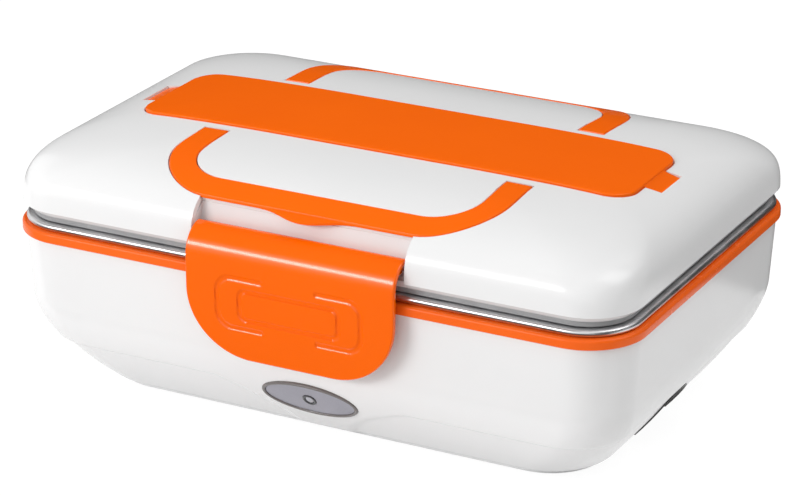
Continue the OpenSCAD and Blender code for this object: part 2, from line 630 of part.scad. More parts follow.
// Line round the whole bail; back is how far its front edge stands behind the lip's
function bail_ring(g, back, off) =
    let(side = back > 0 ? 0.4 : 0, xo = bail_x + bail_arm / 2 + g - side, xi = bail_x - bail_arm / 2 - g,
        outer = bail_side(xo + bail_bow, bail_reach - back + g, 25 - back + g, xo, 3.7 + g),
        inner = bail_side(xi + bail_bow, bail_reach - bail_grip - g, 16 - g, xi, 3.7 + g))
    [for (p = concat(outer, backwards(inner))) [p[0], p[1] - bail_y, dome_z(p[0], p[1] - bail_y) + bail_proud + off]];
thumb_a = 17.5;
thumb_out = 3.1;
module thumb(grow, low, high) {
    r = (thumb_a * thumb_a + thumb_out * thumb_out) / (2 * thumb_out);
    edge_z = dome_z(0, bail_y + bail_reach) + bail_proud - bail_lip_t;
    translate([0, -bail_y - bail_reach, edge_z]) rotate([10, 0, 0]) translate([0, 0, low]) linear_extrude(high - low)
        intersection() {
            translate([0, -thumb_out + r]) circle(r + grow, $fn = 96);
            translate([-30, -thumb_out - 1]) square([60, thumb_out + 2.5 + grow]);
        }
}
module bail() {
    skin([bail_ring(0, bail_lip + 0.8, -bail_t), bail_ring(0, bail_lip, -bail_lip_t - 0.4), bail_ring(0, bail_lip, -bail_lip_t),
          bail_ring(0, 0, -bail_lip_t), bail_ring(0, 0, -0.3), bail_ring(-0.3, 0, 0), bail_ring(-2.4, 0, 0)], strip = true);
    thumb(0, -1.3, 0.3);
    for (s = [-1, 1]) translate([s * (bail_x + bail_arm / 2 - 1), -bail_y, bail_z]) rotate([0, 90 * s, 0])
        cylinder(r = bail_pin_r, h = 4);
}
module front_handle() {
    color("darkorange") bail();
}
module rear_handle() {
    color("darkorange") rotate(180) bail();
}
// Pocket in the lid that a bail lies in and swings out of
module bail_pocket() {
    skin([bail_ring(gap, bail_lip, -bail_t - gap), bail_ring(gap, bail_lip, -bail_lip_t - gap),
          bail_ring(gap, 0, -bail_lip_t - gap), bail_ring(gap, 0, 8)], strip = true);
    thumb(gap, -1.3 - gap, 10);
    for (s = [-1, 1]) translate([s * (bail_x + bail_arm / 2 - 1), -bail_y, bail_z]) rotate([0, 90 * s, 0])
        cylinder(r = bail_pin_r + pin_gap, h = 4.4);
    for (s = [-1, 1]) translate([s * bail_x, -bail_y, bail_z]) rotate([0, 90, 0])
        cylinder(r = 4.6, h = bail_arm + 2 * gap + 0.1, center = true);
    for (s = [-1, 1]) translate([s * bail_x - bail_arm / 2 - gap - 0.1, -bail_y, bail_z - 1])
        cube([bail_arm + 2 * gap + 0.2, 4.6, 12]);
}
// Plastic under and round the pocket
module bail_bed() {
    skin([bail_ring(gap + 1.6, bail_lip, -bail_t - gap - 1.8), bail_ring(gap + 1.6, bail_lip, -1.4 - bail_proud)], strip = true);
    w = bail_arm + 12;
    for (s = [-1, 1]) translate([s * bail_x - w / 2, -bail_y - 6.4, bail_z - 6.2]) cube([w, 12.8, 7.2]);
}

notch_a = latch_a + 2.1;
notch_back = lid_b - 8.5;
// Height a wall's thickness below the dome, at a distance behind the lid's widest line
function under(d) = dome_z(notch_a + 3.4, lid_b - d) - 0.6;
module notch_body() {
    y = lid_b;
    rotate([90, 0, 90]) translate([0, 0, -notch_a - 3.4]) linear_extrude(2 * notch_a + 6.8) polygon([
        [-(notch_back - 2), liner_top + seat], [-(b0 - seal_in + 0.2), liner_top + seat],
        [-(b0 - seal_in + 0.2), lid_z + 0.8], [-(y - 3.4), lid_z + 0.8], [-(y - 1.6), lid_z + 2.4], [-(y - 1), lid_wide_z + 2],
        [-(y - 2), min(latch_pin_z + 1.6, under(2))], [-(y - 4.4), under(4.4)], [-(y - 8), under(8)], [-(y - 13), under(13)],
        [-(y - 16), under(16)], [-(notch_back - 2), under(8) - 2]]);
}
module notch_cut() {
    rotate([90, 0, 90]) translate([0, 0, -notch_a]) linear_extrude(2 * notch_a) polygon([
        [-(b0 + 20), lid_z - 10], [-(lid_b - 3), lid_z - 10], [-(lid_b - 3), lid_wide_z - 0.4], [-notch_back, lid_wide_z - 0.4],
        [-notch_back, 100], [-(b0 + 20), 100]]);
}
boss_x = 98;
boss_y = 50;
module lid_shell() {
    inner_h = lid_crown - lid_wall;
    ia = lid_a - lid_wall;
    ib = lid_b - lid_wall;
    skirt_z = lid_z + 2.5;
    color("white") difference() {
        union() {
            skin(concat(
                [for (i = [len(dome_w) - 1:-1:0]) dome_ring(dome_w[i], ia, ib, inner_h)],
                [at_z(outline(ia - 0.2, ib - 0.2, rim_r - 3), skirt_z),
                 at_z(outline(ia - lid_tuck + 0.4, ib - lid_tuck + 0.4, rim_r - 5.5), lid_z)],
                [for (s = [[0, lid_tuck], [0.8, 1.9], [2, 0.7]])
                    at_z(outline(lid_a - s[1], lid_b - s[1], rim_r - lid_in - s[1]), lid_z + s[0])],
                [for (w = dome_w) dome_ring(w, lid_a, lid_b, lid_crown)]));
            for (s = [0, 180]) rotate(s) bail_bed();
            translate([0, 0, trough_z - lid_wall]) linear_extrude(lid_top - 0.5 - trough_z + lid_wall)
                plate(trough_a + 2, trough_b + 2, trough_r + 2);
            notch_body();
            lid_knuckles();
            for (x = [-1, 1]) for (y = [-1, 1]) translate([x * boss_x, y * boss_y, liner_top])
                cylinder(r = 3.6, h = dome_z(boss_x, boss_y) - 1.2 - liner_top);
        }
        dome_slab(gap, cover_proud - cover_t - seat, 8);
        cover_tab(gap);
        translate([0, 0, trough_z]) linear_extrude(40) plate(trough_a, trough_b, trough_r);
        for (s = [0, 180]) rotate(s) bail_pocket();
        notch_cut();
        translate([-notch_a - 3, latch_pin_y, latch_pin_z]) rotate([0, 90, 0])
            cylinder(r = latch_pin_r + pin_gap, h = 2 * notch_a + 6);
        hinge_bore();
        for (x = [-1, 1]) for (y = [-1, 1]) translate([x * boss_x, y * boss_y, liner_top - 1]) cylinder(r = screw_r, h = 7.4);
    }
}
module lid_knuckles() {
    for (i = [0, 2, 4]) knuckle(i, [[lid_b - 1.4, lid_wide_z + 4], [lid_b - 1.4, lid_wide_z - 2], [b0 + 0.8, lid_z - 1],
        [hinge_y, hinge_z], [hinge_y + knuckle_r * 0.6, hinge_z + knuckle_r * 0.8], [lid_b + 3, lid_wide_z + 1.5]]);
}
module latch_pin() {
    color("silver") translate([-notch_a - 2.6, latch_pin_y, latch_pin_z]) rotate([0, 90, 0])
        cylinder(r = latch_pin_r, h = 2 * notch_a + 5.2);
}

liner_z = lid_z + 0.4;
liner_t = 1.6;
liner_top = liner_z + liner_t;
seal_out = lid_in + lid_tuck + 0.2;
seal_in = 8.2;
plug_in = tray_in + tray_t + 2.4;
module lid_liner() {
    color("whitesmoke") difference() {
        union() {
            translate([0, 0, liner_z]) linear_extrude(liner_t) plate(a0 - seal_in - 0.1, b0 - seal_in - 0.1, rim_r - seal_in);
            skin([at_z(outline(a0 - plug_in - 1, b0 - plug_in - 1, tray_r - 3), bead_top - 5),
                  at_z(outline(a0 - plug_in, b0 - plug_in, tray_r - 2), bead_top - 4),
                  at_z(outline(a0 - plug_in, b0 - plug_in, tray_r - 2), liner_z + 0.4),
                  at_z(outline(a0 - plug_in - 1.5, b0 - plug_in - 1.5, tray_r - 3.5), liner_z + 0.4),
                  at_z(outline(a0 - plug_in - 1.5, b0 - plug_in - 1.5, tray_r - 3.5), bead_top - 3.4)]);
        }
        for (x = [-1, 1]) for (y = [-1, 1]) translate([x * boss_x, y * boss_y, liner_z - 5])
            cylinder(r = screw_r + 0.3, h = 10);
        translate([0, 0, trough_z - lid_wall - seat]) linear_extrude(60) plate(trough_a + 2 + gap, trough_b + 2 + gap, trough_r + 2 + gap);
    }
}
module lid_seal() {
    color("silver") carry_round(a0, b0, rim_r) difference() {
        translate([rim_r - seal_in, bead_top + gap]) square([seal_in - seal_out, lid_z - bead_top - gap - 0.05]);
        translate([rim_r - seal_out - 1.6, bead_top + gap - 0.4]) circle(0.7, $fn = 24);
    }
}
module lid_screws() {
    color("silver") for (x = [-1, 1]) for (y = [-1, 1]) translate([x * boss_x, y * boss_y, liner_z]) {
        translate([0, 0, -1.6]) cylinder(r = 2.7, h = 1.6 - seat / 2);
        translate([0, 0, -0.5]) cylinder(r = screw_r - 0.03, h = 7.5);
    }
}

// Latch: a curved plate, drawn from the side, whose front view rounds its lower corners
latch_top = latch_pin_z + 3;
function latch_face(z) = latch_y + 1.6 * pow(max(0, (rim_z - 2 - z) / 24), 2);
latch_curve = -latch_y + latch_pin_y + 0.9;
function latch_skin(inset) = concat(
    [for (i = [0:8]) let(t = 90 * i / 8)
        [latch_pin_y + 0.9 - (latch_curve - inset) * sin(t), latch_top - 10.2 + (10.2 - inset) * cos(t)]],
    [for (t = [0, 7, 14, 21, latch_drop + 2]) [latch_face(rim_z - t) + inset, rim_z - t]]);
function backwards(p) = [for (i = [len(p) - 1:-1:0]) p[i]];
module latch_front() {
    r = 24;
    translate([-latch_a, latch_z + r]) square([2 * latch_a, 60]);
    translate([0, latch_z + 35]) plate(latch_a, 35, r);
}
// A rounded rectangle between two brackets, as lines sunk into the face
module latch_lines() {
    intersection() {
        rotate([90, 0, 90]) linear_extrude(2 * latch_a, center = true)
            polygon(concat(latch_skin(-1), backwards(latch_skin(line_d))));
        rotate([90, 0, 0]) linear_extrude(200, center = true) translate([0, rim_z - 5.3]) {
            translate([0, -0.3]) line_round(17.9, 5.1, 2.6);
            difference() {
                line_round(26.8, 8.9, 5.5);
                square([19.6, 30], center = true);
            }
        }
    }
}
module line_round(a, b, r) {
    h = line_w / 2;
    difference() {
        plate(a + h, b + h, r + h);
        plate(a - h, b - h, r - h);
    }
}
module latch() {
    color("darkorange") difference() {
        union() {
            intersection() {
                rotate([90, 0, 90]) linear_extrude(2 * latch_a, center = true)
                    polygon(concat(latch_skin(0), backwards(latch_skin(latch_wall))));
                rotate([90, 0, 0]) linear_extrude(200, center = true) latch_front();
            }
            translate([-latch_a + 2, latch_pin_y, latch_pin_z]) rotate([0, 90, 0])
                cylinder(r = 2.95, h = 2 * latch_a - 4);
            hook();
            for (x = [-26, 24]) translate([x, 0, 0]) rib();
        }
        translate([-latch_a - 1, latch_pin_y, latch_pin_z]) rotate([0, 90, 0])
            cylinder(r = latch_pin_r + pin_gap, h = 2 * latch_a + 2);
        latch_lines();
    }
}
// Catch that snaps under the rim ring
module hook() {
    top = rim_z - gap;
    rotate([90, 0, 90]) linear_extrude(30, center = true) polygon([
        [latch_y + 1, top], [-(b0 - 0.9), top], [-(b0 - 0.9), top - 0.8], [-(b0 + 0.8), top - 2.4],
        [latch_y + 1, top - 4.4]]);
}
// Stiffening rib behind the plate
module rib() {
    rib_z = rim_z - 5;
    rotate([90, 0, 90]) linear_extrude(2) polygon([
        [latch_face(rib_z) + 1, rib_z], [latch_face(rib_z) + 1, latch_top - 10.2], [latch_pin_y - 1.2, latch_top - 4.2],
        [latch_pin_y, latch_pin_z - 2], [-(b0 + 1.3), latch_pin_z - 6], [-(b0 + 1.3), rib_z + 2]]);
}

base_shell();
rim_ring();
food_tray();
heating_well();
heater_plate();
ptc_heater();
heater_clamp();
thermostat();
thermal_fuse();
inlet_socket();
inlet_pins();
badge_bezel();
badge_plate();
lamp_lens();
lamp_board();
wiring_leads();
bottom_cover();
cover_screws();
rubber_feet();
hinge_pin();
lid_shell();
lid_liner();
lid_seal();
lid_screws();
latch_pin();
latch();
front_handle();
rear_handle();
utensil_cover();
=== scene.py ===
# %% [markdown]
# # Electric lunch box
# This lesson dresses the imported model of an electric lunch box: a white plastic base with an orange rim,
# a steel food tray, a crowned white lid, a wide orange latch, two folding handles and a long lid cover.
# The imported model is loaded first, and each piece made here rides on one of its bodies.

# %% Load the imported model
import bpy, bmesh, math
import numpy as np
from mathutils import Matrix, Vector


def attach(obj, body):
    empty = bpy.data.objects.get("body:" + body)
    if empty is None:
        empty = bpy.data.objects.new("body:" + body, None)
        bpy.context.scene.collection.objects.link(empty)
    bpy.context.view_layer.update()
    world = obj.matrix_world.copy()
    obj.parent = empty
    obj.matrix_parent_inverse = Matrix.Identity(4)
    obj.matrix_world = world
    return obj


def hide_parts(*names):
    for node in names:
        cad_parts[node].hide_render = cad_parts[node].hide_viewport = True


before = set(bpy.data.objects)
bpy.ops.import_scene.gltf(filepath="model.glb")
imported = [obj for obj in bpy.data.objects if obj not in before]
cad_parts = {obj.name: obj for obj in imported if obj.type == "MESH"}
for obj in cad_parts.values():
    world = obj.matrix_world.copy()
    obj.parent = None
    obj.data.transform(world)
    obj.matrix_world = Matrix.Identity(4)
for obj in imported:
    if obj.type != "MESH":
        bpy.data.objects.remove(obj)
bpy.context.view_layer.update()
scene = bpy.context.scene

# %% [markdown]
# ## Camera
# The photograph was taken from the right and a little above with a long lens. The camera's place and direction
# follow from two angles and a distance, in metres.

# %% Camera
def put(name, data):
    """A new object in the scene."""
    piece = bpy.data.objects.new(name, data)
    scene.collection.objects.link(piece)
    return piece


look_az, look_el = math.radians(27.53), math.radians(21.88)
distance, aim_z, shift_right, shift_up = 1.13981, 0.045, -0.00126, 0.00341
focal_px, picture_px, sensor_mm = 3216.59, 800, 36
flat = math.cos(look_el)
back = Vector((math.sin(look_az) * flat, -math.cos(look_az) * flat, math.sin(look_el)))
right = Vector((math.cos(look_az), math.sin(look_az), 0))
up = back.cross(right)
camera = put("camera", bpy.data.cameras.new("camera"))
camera.data.sensor_width = sensor_mm
camera.data.lens = focal_px * sensor_mm / picture_px
camera.data.clip_start, camera.data.clip_end = 0.05, 20
camera.location = Vector((0, 0, aim_z)) + right * shift_right + up * shift_up + back * distance
camera.rotation_mode = "QUATERNION"
camera.rotation_quaternion = Matrix((right, up, back)).transposed().to_quaternion()
scene.camera = camera
print("lens", round(camera.data.lens, 1), "mm at", [round(v, 3) for v in camera.location])

# %% [markdown]
# ## Helpers for meshes
# Pieces are drawn in millimetres and turned to metres when their mesh is made. Moulded pieces are skins through
# stacked rings, rims are a profile carried round a rounded rectangle, and pockets are cut with solids.

# %% Rings and skins
MM = 0.001


def turns_of(a, b, r, n):
    """The four quarter turns of a rounded rectangle of half sizes a and b, counter-clockwise."""
    turns = []
    for quarter, (sx, sy) in enumerate(((1, 1), (-1, 1), (-1, -1), (1, -1))):
        t = np.radians(90 * (quarter + np.arange(n + 1) / n))
        turns.append(np.stack([sx * (a - r) + r * np.cos(t), sy * (b - r) + r * np.sin(t)], 1))
    return turns


def outline(a, b, r, n=16, long_side=0, short_side=0):
    """Rounded rectangle with extra points along its straight sides."""
    turns, out = turns_of(a, b, r, n), []
    for i, turn in enumerate(turns):
        m = (long_side, short_side)[i % 2]
        t = (np.arange(1, m + 1) / (m + 1))[:, None]
        start, stop = turn[-1], turns[(i + 1) % 4][0]
        out += [turn, start + (stop - start) * t]
    return np.concatenate(out)


def at_z(points, z):
    return np.column_stack([points, np.broadcast_to(z, len(points))])


def make(name, points, faces):
    """A mesh object from points in millimetres, its faces turned outwards."""
    mesh = bpy.data.meshes.new(name)
    mesh.from_pydata((np.asarray(points, float) * MM).tolist(), [], faces)
    bm = bmesh.new()
    bm.from_mesh(mesh)
    bmesh.ops.recalc_face_normals(bm, faces=bm.faces)
    bm.to_mesh(mesh)
    bm.free()
    piece = put(name, mesh)
    shade(piece)
    return piece


def shade(piece, degrees=40):
    piece.data.polygons.foreach_set("use_smooth", [True] * len(piece.data.polygons))
    piece.data.set_sharp_from_angle(angle=math.radians(degrees))
    piece.data.update()


def skin(name, rings, closed=False, strip=False):
    """Skin through rings of equal point count: capped at both ends, or closed on itself."""
    n, m = len(rings[0]), len(rings)
    k = np.arange(m if closed else m - 1)[:, None]
    i = np.arange(n)[None, :]
    j, up_k = (i + 1) % n, (k + 1) % m
    faces = np.stack([k * n + i, k * n + j, up_k * n + j, up_k * n + i], -1).reshape(-1, 4).tolist()
    if not closed:
        for start in (0, (m - 1) * n):
            if strip:
                faces += [[start + s, start + s + 1, start + n - 2 - s, start + n - 1 - s]
                          for s in range(n // 2 - 1)]
            else:
                faces.append(list(range(start, start + n)))
    return make(name, np.concatenate(rings), faces)


def carry(name, profile):
    """A closed profile carried round the rim's outline; its x runs outwards from the corners' middles."""
    a, b = rim_a - rim_r, rim_b - rim_r
    return skin(name, [at_z(outline(a + out, b + out, out, 32, 1, 1), z) for out, z in profile], closed=True)


def arc(cx, cy, r, start, stop, n):
    t = np.radians(np.linspace(start, stop, n + 1))
    return np.stack([cx + r * np.cos(t), cy + r * np.sin(t)], 1).tolist()


# %% Solids that cut and join
def placed(points, place):
    return np.array([place @ Vector(p) for p in points])


def prism(name, points, low, high, place=Matrix()):
    """Flat outline drawn up from low to high, then placed."""
    points = np.asarray(points, float)
    both = placed(np.concatenate([at_z(points, low), at_z(points, high)]), place)
    n = len(points)
    faces = [[i, (i + 1) % n, n + (i + 1) % n, n + i] for i in range(n)]
    return make(name, both, faces + [list(range(n)), list(range(n, 2 * n))])


def brick(name, x, y, low, high):
    """Block over a pair of x and a pair of y."""
    return prism(name, [[x[0], y[0]], [x[1], y[0]], [x[1], y[1]], [x[0], y[1]]], low, high)


def oval(a, b, n=96):
    t = np.linspace(0, 2 * math.pi, n, endpoint=False)
    return np.stack([a * np.cos(t), b * np.sin(t)], 1)


def circle(r, n=48):
    return oval(r, r, n)


def rod(name, start, stop, r, n=48):
    start, stop = Vector(start), Vector(stop)
    turn = (stop - start).to_track_quat("Z", "Y").to_matrix().to_4x4()
    return prism(name, circle(r, n), 0, (stop - start).length, Matrix.Translation(start) @ turn)


def rod_x(name, first, last, axis, r, n=48):
    """Rod along x between two ends; axis is its y and z."""
    return rod(name, (first, *axis), (last, *axis), r, n)


# Views in the y-z plane that are drawn out along x, and views in the x-z plane drawn out along y
ALONG_X = Matrix(((0, 0, 1, 0), (1, 0, 0, 0), (0, 1, 0, 0), (0, 0, 0, 1)))
ALONG_Y = Matrix(((1, 0, 0, 0), (0, 0, -1, 0), (0, 1, 0, 0), (0, 0, 0, 1)))


def settle(piece):
    """Applies the piece's modifiers to its mesh."""
    made = bpy.data.meshes.new_from_object(piece.evaluated_get(bpy.context.evaluated_depsgraph_get()))
    piece.modifiers.clear()
    old, piece.data = piece.data, made
    bpy.data.meshes.remove(old)


def carve(piece, tools, how="DIFFERENCE"):
    for tool in tools:
        modifier = piece.modifiers.new("carve", "BOOLEAN")
        modifier.operation, modifier.solver, modifier.object = how, "MANIFOLD", tool
        settle(piece)
        bpy.data.objects.remove(tool)


def join(piece, others):
    carve(piece, others, "UNION")


def soften(piece, width, degrees=50):
    """Rounds the edges that are sharper than an angle."""
    modifier = piece.modifiers.new("soften", "BEVEL")
    modifier.width, modifier.segments = width * MM, 2
    modifier.limit_method, modifier.angle_limit = "ANGLE", math.radians(degrees)
    settle(piece)


def even(piece, degrees=40):
    """Smooth shading in which the large faces stay flat and only the small ones turn."""
    shade(piece, degrees)
    modifier = piece.modifiers.new("even", "WEIGHTED_NORMAL")
    modifier.keep_sharp, modifier.weight = True, 80
    settle(piece)


# %% [markdown]
# ## Sizes of this lunch box
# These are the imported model's sizes, in millimetres. The bottom of the base curves in by a power law, and the
# lid is a stack of level slices whose half sizes follow two superellipses, one along the box and one across it.

# %% Sizes
rim_a, rim_b, rim_r, rim_z = 118.0, 78.3, 21.0, 60.0
band_h, bend_z = 19.6, 36.0
ring_top = rim_z + 3.6
bead_r, bead_in = 1.25, 2.9
bead_z = ring_top + 0.1 + bead_r
bead_top = bead_z + bead_r
lid_z = 68.5
lid_a, lid_b, lid_wide_z, lid_crown, lid_wall = rim_a - 0.8, rim_b - 0.8, lid_z + 2.5, 22.3, 2.2
hinge_y, hinge_z, hinge_r, hinge_bore_r = rim_b + 2.6, 67.0, 3.6, 1.46
latch_y, latch_pin_y, latch_pin_z, latch_bore_r = -(rim_b + 5.0), -(lid_b - 2.9), 75.5, 1.31
base_wall, gap = 2.2, 0.3


def soft(t):
    t = np.clip(t, 0, 1)
    return t * t * (3 - 2 * t)


def slice_a(w, a=lid_a, power=4.9):
    """Half length of the lid's slice at a share w of the dome's height."""
    return a * (1 - w**power) ** (1 / power)


def slice_b(w, b=lid_b, power=3.2):
    return b * (1 - w**power) ** (1 / power)


def slice_r(w, a=lid_a, b=lid_b, gain=10, power=1.75):
    """Corner radius of a slice, which grows towards the top and ends as an ellipse would."""
    return np.minimum(np.minimum(slice_a(w, a), slice_b(w, b)) - 0.3, rim_r - 1.5 + gain * w**power)


def beyond(over_x, over_y):
    """Distance past a rounded corner's middle, negative inside both of its straight sides."""
    return np.hypot(np.maximum(over_x, 0), np.maximum(over_y, 0)) + np.minimum(np.maximum(over_x, over_y), 0)


def dome_z(x, y):
    """Height of the lid's dome over points of the plan, found by halving."""
    x, y = np.abs(np.asarray(x, float)), np.abs(np.asarray(y, float))
    low, high = np.zeros(x.shape), np.full(x.shape, 0.99999)
    for _ in range(30):
        w = (low + high) / 2
        a, b, r = slice_a(w), slice_b(w), slice_r(w)
        reached = beyond(x - (a - r), y - (b - r)) <= r
        low, high = np.where(reached, w, low), np.where(reached, high, w)
    return lid_wide_z + lid_crown * low


print("lid's top at", round(float(dome_z(0, 0)), 2), "mm")

# %% [markdown]
# ## Finishes
# All finishes are procedural. A small class wraps a socket, so that shader maths reads as ordinary sums.
# Moulded plastic is never one flat colour: it has a faint cloudiness, a skin like fine orange peel and tiny
# rubbed spots that are duller.

# %% Shader maths
class Value:
    def __init__(self, tree, socket):
        self.tree, self.socket = tree, socket

    def __add__(self, other):
        return self.tree.add("Math", "Value", [self, other], operation="ADD")

    def __mul__(self, other):
        return self.tree.add("Math", "Value", [self, other], operation="MULTIPLY")

    __radd__, __rmul__ = __add__, __mul__


class Finish:
    """A material and its node tree."""

    def __init__(self, name):
        self.material = bpy.data.materials.new(name)
        self.material.use_nodes = True
        self.nodes, self.links = self.material.node_tree.nodes, self.material.node_tree.links
        self.shader = self.nodes["Principled BSDF"]
        self.place = self.add("TexCoord", "Object")

    def add(self, kind, output, inputs={}, **settings):
        """A node, its settings made first, then the values or links of its sockets."""
        node = self.nodes.new("ShaderNode" + kind)
        for key, value in settings.items():
            setattr(node, key, value)
        for key, value in (enumerate(inputs) if isinstance(inputs, list) else inputs.items()):
            self.feed(node.inputs[key], value)
        return Value(self, node.outputs[output])

    def feed(self, socket, value):
        if isinstance(value, Value):
            self.links.new(value.socket, socket)
        elif socket.type == "RGBA":
            socket.default_value = (*value, 1)
        else:
            socket.default_value = value

    def noise(self, scale, detail=2.0, rough=0.5, at=None):
        """Clouds of a scale in lumps per metre."""
        sockets = {"Vector": at or self.place, "Scale": scale, "Detail": detail, "Roughness": rough}
        return self.add("TexNoise", "Fac", sockets)

    def range(self, value, low, high, to_low=0.0, to_high=1.0):
        """Takes a value's span from low to high to another span."""
        sockets = {"Value": value, "From Min": low, "From Max": high, "To Min": to_low, "To Max": to_high}
        return self.add("MapRange", "Result", sockets)

    def blend(self, amount, first, second):
        return self.add("Mix", 2, {0: amount, 6: first, 7: second}, data_type="RGBA")

    def bump(self, height, depth):
        """Bump of a depth in millimetres."""
        return self.add("Bump", "Normal", {"Height": height, "Distance": depth * MM, "Strength": 1.0})

    def set(self, **sockets):
        for name, value in sockets.items():
            self.feed(self.shader.inputs[name.replace("_", " ")], value)
        return self.material


# %% Moulded plastics
def moulded(name, colour, cloudy_colour, gloss, peel=0.004, coat=0.0, sheen=0.5):
    f = Finish(name)
    cloud = f.noise(22, 3)
    rubbed = f.range(f.noise(140, 6, 0.65), 0.62, 0.8)
    fine = f.noise(2600, 2)
    skin_height = f.noise(420, 2) * 0.8 + fine * 0.2
    return f.set(
        # Clouds mix in a slightly different tone at random.
        Base_Color=f.blend(f.range(cloud, 0.3, 0.7), cloudy_colour, colour),
        Roughness=gloss + rubbed * 0.06 + fine * 0.02,
        Normal=f.bump(skin_height, peel),
        Specular_IOR_Level=sheen, Coat_Weight=coat, Coat_Roughness=0.05)


white_plastic = moulded("white_plastic", (0.82, 0.82, 0.82), (0.805, 0.805, 0.807), 0.2, sheen=0.4)
orange_plastic = moulded("orange_plastic", (0.98, 0.142, 0.0), (0.96, 0.135, 0.0), 0.22, sheen=0.2)
latch_plastic = moulded("latch_plastic", (0.96, 0.135, 0.0), (0.94, 0.128, 0.0), 0.17, 0.002, sheen=0.5)
ring_plastic = moulded("ring_plastic", (0.93, 0.14, 0.012), (0.9, 0.125, 0.008), 0.26, sheen=0.2)
inner_plastic = moulded("inner_plastic", (0.78, 0.78, 0.76), (0.75, 0.75, 0.73), 0.38)
black_plastic = moulded("black_plastic", (0.09, 0.088, 0.085), (0.075, 0.073, 0.07), 0.42, 0.01)
bezel_plastic = moulded("bezel_plastic", (0.17, 0.155, 0.15), (0.15, 0.135, 0.13), 0.25, coat=0.2)
heater_black = moulded("heater_black", (0.05, 0.05, 0.055), (0.04, 0.04, 0.042), 0.5, 0.01)
board_green = moulded("board_green", (0.02, 0.2, 0.06), (0.015, 0.16, 0.05), 0.35)
lead_red = moulded("lead_red", (0.6, 0.04, 0.03), (0.55, 0.03, 0.025), 0.35)
print("finishes so far:", len(bpy.data.materials))

# %% [markdown]
# Metals get their look from what they reflect, so their colour is nearly even. Their fine lines are noise that
# is squeezed along one direction. Rubber has a dull, slightly dusty face.

# %% Metals and rubber
def metal(name, colour, gloss, lines=(1, 1, 1), scratch=0.004, tint=0.06):
    f = Finish(name)
    stretched = f.add("VectorMath", "Vector", {0: f.place, 1: lines}, operation="MULTIPLY")
    drawn = f.noise(900, 3, 0.6, stretched)
    smear = f.noise(60, 3)
    darker = tuple(c * (1 - tint) for c in colour)
    return f.set(
        Base_Color=f.blend(f.range(smear, 0.35, 0.65), darker, colour), Metallic=1.0,
        Roughness=f.range(smear, 0.3, 0.7, gloss * 0.8, gloss * 1.25) + drawn * 0.04,
        Normal=f.bump(drawn, scratch))


def rubber(name, colour, gloss, grain=0.02):
    f = Finish(name)
    dust = f.range(f.noise(90, 5, 0.6), 0.5, 0.75)
    pale = tuple(min(1, c * 1.12 + 0.01) for c in colour)
    return f.set(
        Base_Color=f.blend(dust, colour, pale), Roughness=gloss + dust * 0.1,
        Normal=f.bump(f.noise(1500, 2), grain), Specular_IOR_Level=0.4)


polished_steel = metal("polished_steel", (0.8, 0.8, 0.81), 0.32, (0.15, 0.15, 4), 0.0003)
plate_metal = metal("plate_metal", (0.7, 0.7, 0.72), 0.3, (0.1, 4, 1), 0.004)
zinc_steel = metal("zinc_steel", (0.6, 0.6, 0.62), 0.25)
brass = metal("brass", (0.8, 0.58, 0.25), 0.22)
seal_grey = rubber("seal_grey", (0.34, 0.34, 0.345), 0.42)
foot_rubber = rubber("foot_rubber", (0.16, 0.16, 0.165), 0.6)
print("metals and rubber ready")

# %% Badge and lamp finishes
# Printed label stock with a fine metallic fleck
f = Finish("badge_grey")
fleck = f.range(f.noise(5200, 1), 0.55, 0.75)
wash = f.range(f.noise(70, 3), 0.35, 0.65)
colour = f.blend(fleck * 0.35, f.blend(wash, (0.27, 0.265, 0.31), (0.31, 0.3, 0.35)), (0.5, 0.49, 0.54))
badge_grey = f.set(
    Base_Color=colour, Metallic=0.35, Roughness=0.34 + wash * 0.06,
    Normal=f.bump(fleck, 0.002), Coat_Weight=0.4, Coat_Roughness=0.08)
# Unlit indicator lamp of milky plastic
f = Finish("lamp_milk")
haze = f.range(f.noise(700, 3), 0.3, 0.7)
lamp_milk = f.set(
    Base_Color=f.blend(haze, (0.36, 0.36, 0.4), (0.45, 0.45, 0.5)),
    Roughness=0.12 + haze * 0.05, Normal=f.bump(haze, 0.002), Coat_Weight=0.5)
lens_dark = moulded("lens_dark", (0.025, 0.025, 0.03), (0.02, 0.02, 0.024), 0.15, coat=0.4)
print("badge finishes ready")


# %% Wearing a finish
def wear(piece, material, body, replaces=()):
    """Gives a piece its finish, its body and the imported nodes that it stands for."""
    piece.data.materials.clear()
    piece.data.materials.append(material)
    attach(piece, body)
    if replaces:
        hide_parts(*replaces)
    print(piece.name, len(piece.data.polygons), "faces")


def carried(node, material):
    """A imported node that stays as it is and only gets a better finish."""
    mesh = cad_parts[node].data
    if not mesh.materials:
        mesh.materials.append(material)
    for i in range(len(mesh.materials)):
        mesh.materials[i] = material


for material, names in (
        (inner_plastic, "heating_well lid_liner"), (plate_metal, "heater_plate"),
        (heater_black, "ptc_heater thermostat"), (brass, "thermal_fuse inlet_pins"),
        (zinc_steel, "heater_clamp cover_screws hinge_pin lid_screws latch_pin"),
        (black_plastic, "inlet_socket"), (board_green, "lamp_board"), (lead_red, "wiring_leads"),
        (white_plastic, "bottom_cover"), (foot_rubber, "rubber_feet")):
    for node in names.split():
        carried(node, material)
print("packed nodes dressed")

# %% [markdown]
# ## Base shell
# The base's sides lean in a little down to a soft bend and then curve in towards the foot. A shallow band runs
# round the lower part, one millimetre further in. It breaks off on the front, where a tongue of the upper face
# runs down to the foot with the badge on it.

# %% Curves of the base
base_edge, lean, curl, curl_power = 1.5, 1.5, 20.3, 1.72
bend_r, foot_round, band_in, front_half = 18.0, 5.0, 1.0, 92
front_x = np.linspace(-front_half, front_half, 185)


def base_in(z):
    """How far the face stands in from the ring at a height."""
    if z >= bend_z:
        return base_edge + lean * (rim_z - z) / (rim_z - bend_z)
    return base_edge + (lean + curl * ((bend_z - z) / bend_z) ** curl_power)


